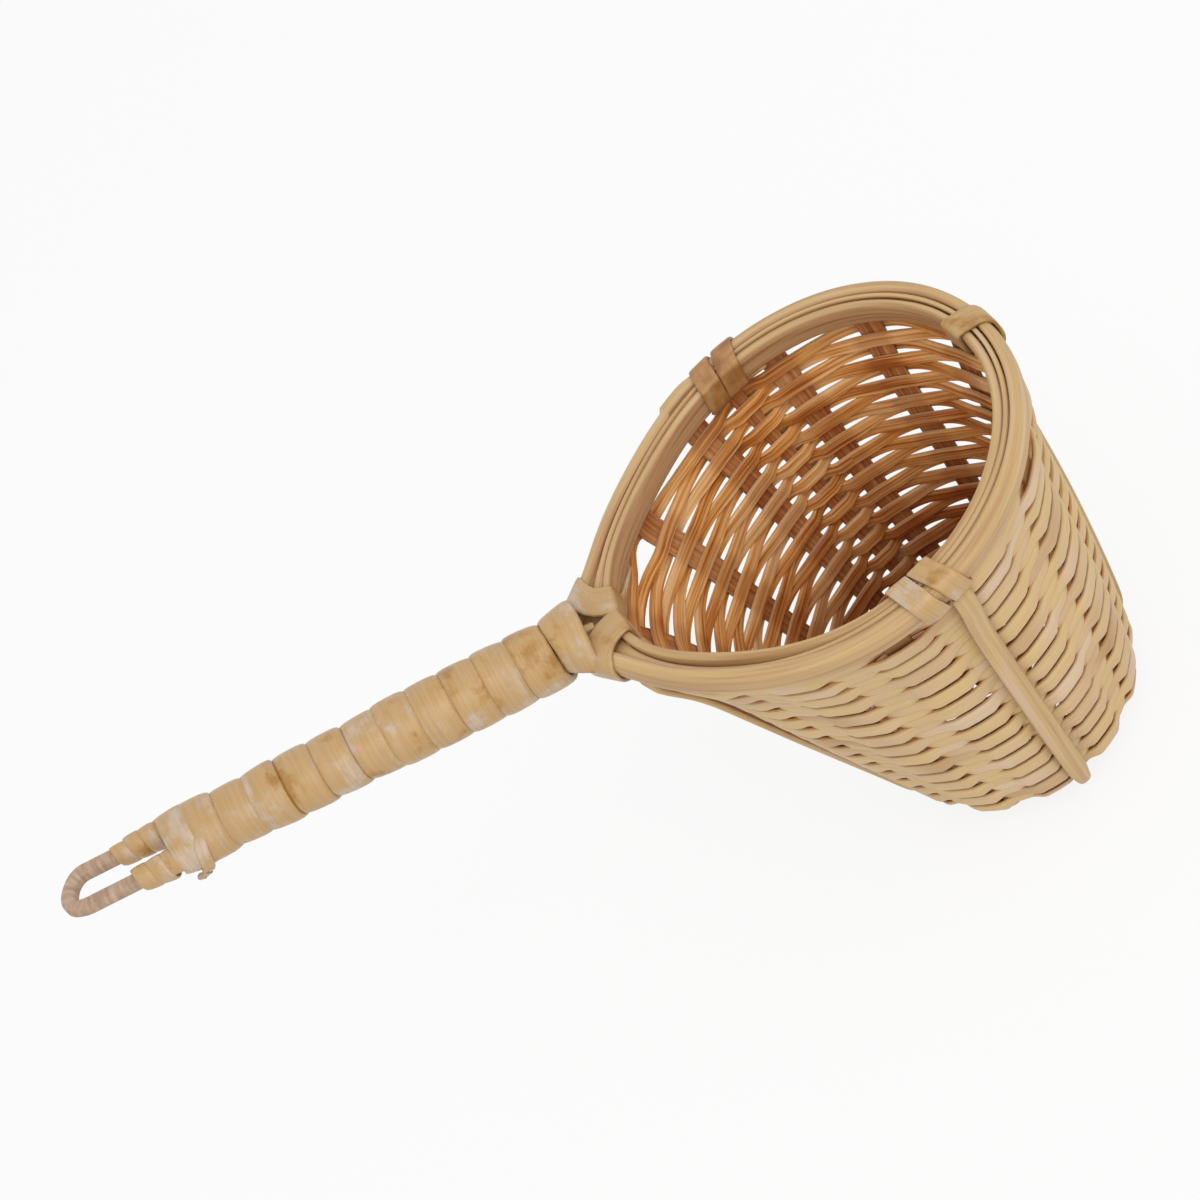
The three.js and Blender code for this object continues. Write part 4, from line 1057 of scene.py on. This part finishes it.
class STRAINER_OT_ribs(bpy.types.Operator):
    """Bends the two outer ribs that cross under the base"""

    bl_idname = "strainer.ribs"
    bl_label = "Outer ribs"

    def half(self, plan, rim_angle, base_angle, level, way):
        stations = []
        inner = [lerp(plan.base_at, plan.centre_at, i / BASE_STEPS) for i in range(BASE_STEPS)]
        for at in [*wall_places(plan, plan.under_rim_at), *inner]:
            theta = radians(lerp(rim_angle, base_angle, min(at / plan.base_at, 1)))
            point, around, _, out = plan.sheet_frame(theta, at)
            point += out * (plan.rib_offset + smooth(at, plan.foot_at, plan.centre_at) * level)
            pared = smooth(at - plan.foot_at, RIB_PARE_FROM, RIB_PARE_TO)
            wide = plan.rib_wide * (1 - RIB_PARED * pared)
            stations.append(Station(point, around * way, out, wide / 2, plan.rib_thick / 2))
        return stations

    def execute(self, context):
        plan = Plan()
        bamboo = split_bamboo()
        for i, (name, start, under, end) in enumerate(RIBS):
            level = 0 if i else plan.rib_level
            flat = Vector((-math.sin(radians(under)), math.cos(radians(under)), 0))
            middle = Vector((0, 0, plan.base_level - plan.rib_offset - level))
            wide = plan.rib_wide * (1 - RIB_PARED)
            centre = Station(middle, flat, DOWN, wide / 2, plan.rib_thick / 2)
            stations = [
                *self.half(plan, start, under, level, 1),
                centre,
                *self.half(plan, end, under - 180, level, -1)[::-1],
            ]
            stations = eased_ends(stations, RIB_EASE)
            add_strip(f"{name}_bamboo", stations, RIB_STRIP, bamboo, "bamboo", name, 500 + 250 * i)
        return {"FINISHED"}


def measured(places):
    """Gives each point of an outline its share of the way round."""
    steps = [math.dist(a[:2], b[:2]) for a, b in zip(places, [*places[1:], places[0]])]
    whole = sum(steps)
    done = 0
    outline = []
    for place, step in zip(places, steps):
        outline.append(Outline(*place, done / whole))
        done += step
    return outline


def box_outline(low, high, radii, steps=6, fill=5):
    """Rounded rectangle from its outer top corner, with radii for the outer and the inner corners."""
    places = []
    for quarter, (i, j) in enumerate(((1, 1), (-1, 1), (-1, -1), (1, -1))):
        radius = radii[0] if i > 0 else radii[1]
        u = high[0] - radius if i > 0 else low[0] + radius
        v = high[1] - radius if j > 0 else low[1] + radius
        for part in range(steps + 1):
            turn = (quarter + part / steps) * math.pi / 2
            normal = (math.cos(turn), math.sin(turn))
            places.append((u + radius * normal[0], v + radius * normal[1], *normal))
    filled = []
    for i, place in enumerate(places):
        filled.append(place)
        if i % (steps + 1) == steps:
            following = places[(i + 1) % len(places)]
            filled += [tuple(lerp(a, b, n / fill) for a, b in zip(place, following)) for n in range(1, fill)]
    under_inner = 3 * (steps + 1) + 2 * (fill - 1) - 1
    return measured(filled), under_inner


def ellipse_outline(half_side, half_rise):
    """Ellipse as points with their normals."""
    places = []
    for i in range(TURN_STEPS):
        turn = 2 * math.pi * i / TURN_STEPS
        normal = Vector((math.cos(turn) / half_side, math.sin(turn) / half_rise)).normalized()
        places.append((half_side * math.cos(turn), half_rise * math.sin(turn), normal.x, normal.y))
    return measured(places)


def wind(outline_at, frame_at, pitch, turns, wide, thick, first=0, tilt_at=None, advance=float):
    """A strip wound round an outline that moves along a frame.

    First is the outline's point that it starts on. With a tilt the strip also follows the outline where that
    grows or shrinks.
    """
    start = outline_at(0)
    stations = []

    def place(along, k):
        on = outline_at(along)[k]
        origin, side, rise, axis = frame_at(along, on)
        out = (side * on.nu + rise * on.nv).normalized()
        return origin + side * on.u + rise * on.v, out, axis

    for i in range(round(turns * len(start)) + 1):
        k = (first + i) % len(start)
        advanced = advance(start[k].share) - advance(start[first].share)
        along = pitch * ((first + i) // len(start) + advanced)
        middle, out, across = place(along, k)
        if tilt_at:
            slope = (place(along + CLEAR, k)[0] - place(along - CLEAR, k)[0]).normalized()
            level = (out - slope * out.dot(slope)).normalized()
            tilt = tilt_at(along)
            across = slope * math.cos(tilt) + level * math.sin(tilt)
            out = level * math.cos(tilt) - slope * math.sin(tilt)
        stations.append(Station(middle, across, out, wide / 2, thick / 2))
    return stations


class STRAINER_OT_bindings(bpy.types.Operator):
    """Winds the lashings round the hoops and the straps at the handle's root"""

    bl_idname = "strainer.bindings"
    bl_label = "Lashings and straps"

    def stations(self, plan, wide, pitch, turns, theta_at):
        """A strip round both hoops. Its plan angle depends on the advance and the place on the outline."""
        reach = BINDING_HUG + plan.binding_thick / 2
        low = (-plan.inner_hoop_thick - reach, -plan.inner_hoop_tall - reach)
        high = (plan.hoop_slot + plan.outer_hoop_thick + reach, reach)
        outline, first = box_outline(low, high, (BINDING_CORNER, reach + CLEAR))

        def frame_at(along, on):
            outside = smooth(on.u, low[0], high[0])
            theta = theta_at(along, outside, smooth(on.v, low[1], lerp(low[1], high[1], BINDING_LIFT)))
            origin, normal, around = plan.rim_frame(theta, 0, plan.rim_height)
            point, thick, heading = plan.hoop_at(theta)
            side = Vector((heading.y, -heading.x, 0)).normalized()
            point += side * (thick - plan.outer_hoop_thick - plan.hoop_slot)
            point += UP * plan.outer_hoop_tall / 2
            axis = around.lerp(heading, outside).normalized()
            return origin.lerp(point, outside), normal.lerp(side, outside).normalized(), UP, axis

        stations = wind(lambda along: outline, frame_at, pitch, turns, wide, plan.binding_thick, first)
        return eased_ends(stations, CUT_EASE)

    def execute(self, context):
        plan = Plan()
        strip = peeled_strip()
        aged = peeled_strip(aged=True)
        for i, (name, at, turns, fan, way) in enumerate(LASHINGS):
            wide = plan.lashing_right_wide if name == "lashing_right" else plan.lashing_wide
            pitch = wide + SEAM_GAP
            inner = plan.rim_frame(radians(at), 0, 0)[0].length - plan.inner_hoop_thick

            def lashing_theta(along, outside, lift):
                spread = lerp(fan, 1, max(outside, lift))
                return radians(at) + way * spread * (along - pitch * turns / 2) / inner

            stations = self.stations(plan, wide, pitch, turns, lashing_theta)
            # The back lashing takes the darker strip: tea browning and painted shade
            cane = aged if name == "lashing_back" else strip
            add_strip(f"{name}_strip", stations, FLAT_STRIP, cane, "wrap_strip", name, 90 * i)
        for i, (name, at, inner_turn, outer_turn) in enumerate(STRAPS):

            def strap_theta(along, outside, lift):
                return radians(at + lerp(inner_turn * lift, outer_turn, outside))

            stations = self.stations(plan, plan.strap_wide, 0, STRAP_TURNS, strap_theta)
            add_strip(f"{name}_strip", stations, FLAT_STRIP, strip, "wrap_strip", name, 270 + 90 * i)
        return {"FINISHED"}


def wrap_fullness(along):
    """How far the wound strip stands fuller than its plain solid."""
    swells = [
        rise * math.exp(-0.5 * ((along / MM - place) / spread) ** 2) for place, spread, rise in WRAP_SWELLS
    ]
    step = WRAP_STEP_RISE * smooth(along / WRAP_STEP, *WRAP_STEP_SWELL) * (along < WRAP_STEP)
    return WRAP_FULLNESS + sum(swells) * MM + step + wobble(31, along, *WRAP_UNEVEN)


def turn_advance(share):
    """Share of a turn's advance along the handle, most of it on the underside."""
    return share + ADVANCE_UNDER * math.sin(2 * math.pi * (share - UNDERSIDE)) / (2 * math.pi)


def handle_outline(plan, along, thick, under=0.0):
    """Middle line of a strip round the core and what lies beside it, or over another strip."""
    flare = 1 - smooth(along, plan.wrap_from, plan.hoop_join + plan.wrap_wide / 2)
    reach = CLEAR + thick / 2 + under + wrap_fullness(along)
    loop_side = plan.leg_side(along) + plan.loop_diameter / 2
    half_side = max(plan.hoop_side(along), loop_side) + reach
    return ellipse_outline(half_side, plan.core_tall(along) / 2 + reach + ROOT_SWELL * flare)


class STRAINER_OT_handle(bpy.types.Operator):
    """Makes the slat inside the handle and winds the strip round it"""

    bl_idname = "strainer.handle"
    bl_label = "Handle"

    def execute(self, context):
        plan = Plan()
        stations = []
        for i in range(WALL_STEPS + 1):
            along = lerp(CORE_START, plan.core_end, i / WALL_STEPS)
            pared = lerp(CORE_PARED, 1, smooth(along, CORE_START, plan.hoop_join))
            tall = pared * plan.core_tall(along)
            middle = plan.handle_point(along, 0, 0)
            stations.append(Station(middle, plan.rise, plan.side, tall / 2, plan.core_thick / 2))
        add_strip("handle_core_slat", stations, FLAT_STRIP, split_bamboo(), "bamboo", "handle_core", 40)

        start = plan.wrap_first - WRAP_LEAD

        def outline_at(along):
            return handle_outline(plan, start + along, plan.wrap_thick)

        def frame_at(along, on):
            shift = wobble(41, along, *WRAP_WANDER)
            return plan.handle_point(start + along + shift, 0, 0), plan.side, plan.rise, plan.axis

        def tilt_at(along):
            return SHINGLE * (1 - 2 * smooth(along / plan.wrap_end, *SHINGLE_TURN))

        stations = wind(
            outline_at,
            frame_at,
            plan.wrap_pitch,
            plan.wrap_turns + WRAP_LEAD / plan.wrap_pitch + WRAP_TAIL,
            plan.wrap_pitch + WRAP_OVERLAP,
            WRAP_PLUMP * plan.wrap_thick,
            tilt_at=tilt_at,
            advance=turn_advance,
        )
        stations = eased_ends(stations, CUT_EASE)
        add_strip("handle_wrap_strip", stations, WRAP_STRIP, peeled_strip(), "wrap_strip", "handle_wrap", 600)
        return {"FINISHED"}


class STRAINER_OT_loop(bpy.types.Operator):
    """Bends the hanging loop and binds its legs to the handle"""

    bl_idname = "strainer.loop"
    bl_label = "Hanging loop"

    def execute(self, context):
        plan = Plan()
        strip = peeled_strip()
        bend_at = plan.loop_tip - plan.loop_half - plan.loop_diameter / 2
        places = []
        for i in range(LEG_STEPS):
            along = lerp(plan.hoop_end + CLEAR, bend_at, i / LEG_STEPS)
            places.append((along, -plan.leg_side(along), 0))
        for i in range(LOOP_STEPS + 1):
            turn = math.pi * i / LOOP_STEPS
            side = LOOP_SKEW * math.sin(turn) ** 2 - plan.loop_half * math.cos(turn)
            places.append((bend_at + plan.loop_half * math.sin(turn), side, turn))
        places += [(along, -side, math.pi) for along, side, _ in reversed(places[:LEG_STEPS])]
        stations = []
        for along, side, turn in places:
            across = plan.axis * math.sin(turn) - plan.side * math.cos(turn)
            half = plan.loop_diameter / 2
            stations.append(Station(plan.handle_point(along, side, 0), across, plan.rise, half, half))
        add_strip("hang_loop_cane", stations, ROUND_CANE, dry_cane(), "cane", "hang_loop")

        broad_at = plan.wrap_end + TAIL_PAST + TAIL_BROAD / 2
        wrap_at = broad_at + TAIL_BROAD / 2 - LEG_WRAP_TUCK
        for i, (name, way, end) in enumerate(LEG_WRAPS):
            pitch = plan.leg_wrap_wide
            reach = end * MM - wrap_at - plan.leg_wrap_wide / 2

            def leg_outline(along):
                thin = plan.loop_diameter / 2 + SEAM_GAP + plan.leg_wrap_thick / 2
                full = LEG_WRAP_FULL - plan.leg_wrap_thick / 2
                radius = lerp(full, thin, smooth(along, LEG_WRAP_TAPER * reach, reach))
                return ellipse_outline(radius, radius)

            def leg_frame(along, on):
                def point(at):
                    return plan.handle_point(at, -way * plan.leg_side(at), 0)

                here = wrap_at + along
                axis = (point(here + CLEAR) - point(here - CLEAR)).normalized()
                return point(here), plan.rise.cross(axis), plan.rise, axis

            stations = wind(
                leg_outline,
                leg_frame,
                pitch,
                reach / pitch,
                plan.leg_wrap_wide + WRAP_OVERLAP,
                plan.leg_wrap_thick,
                tilt_at=lambda along: -SHINGLE,
            )
            stations = eased_ends(stations, CUT_EASE)
            add_strip(f"{name}_strip", stations, WRAP_STRIP, strip, "wrap_strip", name, 1500 + 60 * i)
        self.tail(plan, strip, broad_at)
        return {"FINISHED"}

    def tail(self, plan, strip, broad_at):
        """The broad turn over both legs, and the narrow strip that crosses it and ends in a nub."""

        def outline_at(along):
            return handle_outline(plan, broad_at + along, plan.wrap_thick)

        def frame_at(along, on):
            skewed = broad_at + along - TAIL_SKEW * on.nu
            return plan.handle_point(skewed, 0, 0), plan.side, plan.rise, plan.axis

        seam = round(UNDERSIDE * TURN_STEPS)
        stations = wind(
            outline_at,
            frame_at,
            0,
            TAIL_TURNS,
            TAIL_BROAD,
            plan.wrap_thick,
            seam,
            tilt_at=lambda along: TAIL_TILT,
        )
        for i, station in enumerate(stations):
            hidden = -station.out.dot((plan.rise + plan.side).normalized())
            under = TAIL_UNDER * smooth(hidden, 0, TAIL_UNDER_FULL) / 2
            origin = station.origin - plan.axis * under
            stations[i] = station._replace(origin=origin, half_wide=station.half_wide + under)
        bm = bmesh.new()
        lay_strip(bm, eased_ends(stations, CUT_EASE), WRAP_STRIP, 1700)
        line = []
        for (share, at, lift), (next_share, next_at, next_lift) in zip(TAIL_CROSSING, TAIL_CROSSING[1:]):
            for step in range(CROSSING_PARTS):
                part = step / CROSSING_PARTS
                along = plan.wrap_end + lerp(at, next_at, part) * MM
                raised = plan.wrap_thick / 2 + lerp(lift, next_lift, part) * MM
                outline = handle_outline(plan, along, plan.tail_thick, raised)
                on = outline[round(lerp(share, next_share, part) * TURN_STEPS) % TURN_STEPS]
                line.append((plan.handle_point(along, on.u, on.v), plan.side * on.nu + plan.rise * on.nv))
        stations = []
        half_wide = plan.tail_wide / 2
        half_thick = plan.tail_thick / 2
        for i, (middle, out) in enumerate(line):
            heading = (line[min(i + 1, len(line) - 1)][0] - line[max(i - 1, 0)][0]).normalized()
            across = heading.cross(out).normalized()
            stations.append(Station(middle, across, across.cross(heading), half_wide, half_thick))
        lay_strip(bm, eased_ends(stations, NUB_EASE), FLAT_STRIP, 1750)
        finish_piece("tail_binding_strip", bm, strip, "wrap_strip", "tail_binding")


class STRAINER_OT_stage(bpy.types.Operator):
    """Sets the floor, the soft light and the camera"""

    bl_idname = "strainer.stage"
    bl_label = "Stage"

    def seen(self, tree):
        """1 for what the camera, a reflection or a clear piece sees."""
        path = node(tree, "ShaderNodeLightPath")
        seen = path["Is Camera Ray"]
        for ray in ("Is Glossy Ray", "Is Transmission Ray"):
            seen = node(tree, "ShaderNodeMath", {0: seen, 1: path[ray]}, operation="MAXIMUM")[0]
        return seen

    def floor(self):
        bm = bmesh.new()
        bmesh.ops.create_grid(bm, x_segments=1, y_segments=1, size=FLOOR_HALF)
        mesh = bpy.data.meshes.new("studio_floor")
        bm.to_mesh(mesh)
        bm.free()
        floor = bpy.data.objects.new("studio_floor", mesh)
        bpy.context.scene.collection.objects.link(floor)
        material = bpy.data.materials.new("white studio paper")
        material.use_nodes = True
        tree = material.node_tree
        tree.nodes.clear()
        paper = node(tree, "ShaderNodeBsdfDiffuse", {"Color": PAPER})[0]
        glow = node(tree, "ShaderNodeEmission", {"Color": WHITE, "Strength": 1.0})[0]
        shares = {0: self.seen(tree), 1: 1 - FLOOR_SHADOW}
        lit = node(tree, "ShaderNodeMath", shares, operation="MULTIPLY")[0]
        mixed = node(tree, "ShaderNodeMixShader", {0: lit, 1: paper, 2: glow})[0]
        node(tree, "ShaderNodeOutputMaterial", {"Surface": mixed})
        mesh.materials.append(material)

    def world(self):
        world = bpy.data.worlds.new("white studio")
        world.use_nodes = True
        tree = world.node_tree
        tree.nodes.clear()
        strength = node(tree, "ShaderNodeMapRange", {"Value": self.seen(tree), "To Min": WORLD_LIGHT})[0]
        light = node(tree, "ShaderNodeBackground", {"Color": WHITE, "Strength": strength})[0]
        node(tree, "ShaderNodeOutputWorld", {"Surface": light})
        bpy.context.scene.world = world

    def lamp(self, name, towards, distance, size, power):
        light = bpy.data.lights.new(name, "AREA")
        light.size = size
        light.energy = power
        lamp = bpy.data.objects.new(name, light)
        lamp.location = LAMP_AIM + towards.normalized() * distance
        lamp.rotation_euler = towards.to_track_quat("Z", "Y").to_euler()
        bpy.context.scene.collection.objects.link(lamp)

    def camera(self):
        right = Vector((math.cos(CAMERA_AZIMUTH), math.sin(CAMERA_AZIMUTH), 0))
        back = right.cross(UP) * math.cos(CAMERA_ELEVATION) + UP * math.sin(CAMERA_ELEVATION)
        up = back.cross(right)
        across = right * math.cos(CAMERA_ROLL) + up * math.sin(CAMERA_ROLL)
        upright = up * math.cos(CAMERA_ROLL) - right * math.sin(CAMERA_ROLL)
        place = UP * bpy.context.scene.strainer_rim.rim_height + back * CAMERA_DISTANCE
        place += across * CAMERA_SHIFT[0] + upright * CAMERA_SHIFT[1]
        lens = bpy.data.cameras.new("studio_camera")
        lens.lens = CAMERA_LENS
        lens.sensor_width = CAMERA_SENSOR
        lens.clip_start = CAMERA_CLIP
        camera = bpy.data.objects.new("studio_camera", lens)
        turned = Matrix((across, upright, back)).transposed().to_4x4()
        camera.matrix_world = Matrix.Translation(place) @ turned
        bpy.context.scene.collection.objects.link(camera)
        bpy.context.scene.camera = camera

    def execute(self, context):
        context.scene.view_settings.view_transform = "Standard"
        self.floor()
        self.world()
        for lamp in LAMPS:
            self.lamp(*lamp)
        self.camera()
        return {"FINISHED"}


OPERATORS = (
    STRAINER_OT_hoops,
    STRAINER_OT_stakes,
    STRAINER_OT_weavers,
    STRAINER_OT_ribs,
    STRAINER_OT_bindings,
    STRAINER_OT_handle,
    STRAINER_OT_loop,
    STRAINER_OT_stage,
)
GROUPS = (
    ("strainer_rim", StrainerRim),
    ("strainer_basket", StrainerBasket),
    ("strainer_handle", StrainerHandle),
    ("strainer_colours", StrainerColours),
)


class STRAINER_PT_panel(bpy.types.Panel):
    """Lists the sizes, the colours and the steps of the strainer"""

    bl_label = "Bamboo tea strainer"
    bl_idname = "STRAINER_PT_panel"
    bl_space_type = "VIEW_3D"
    bl_region_type = "UI"
    bl_category = "Strainer"

    def draw(self, context):
        for name, group in GROUPS:
            box = self.layout.box()
            for key in group.__annotations__:
                box.prop(getattr(context.scene, name), key)
        for operator in OPERATORS:
            self.layout.operator(operator.bl_idname)


def register():
    for name, group in GROUPS:
        bpy.utils.register_class(group)
        setattr(bpy.types.Scene, name, PointerProperty(type=group))
    for operator in OPERATORS:
        bpy.utils.register_class(operator)
    bpy.utils.register_class(STRAINER_PT_panel)


def unregister():
    bpy.utils.unregister_class(STRAINER_PT_panel)
    for operator in reversed(OPERATORS):
        bpy.utils.unregister_class(operator)
    for name, group in reversed(GROUPS):
        delattr(bpy.types.Scene, name)
        bpy.utils.unregister_class(group)


def main():
    register()
    bpy.ops.strainer.hoops()
    bpy.ops.strainer.stakes()
    bpy.ops.strainer.weavers()
    bpy.ops.strainer.ribs()
    bpy.ops.strainer.bindings()
    bpy.ops.strainer.handle()
    bpy.ops.strainer.loop()
    bpy.ops.strainer.stage()


if __name__ == "__main__":
    main()
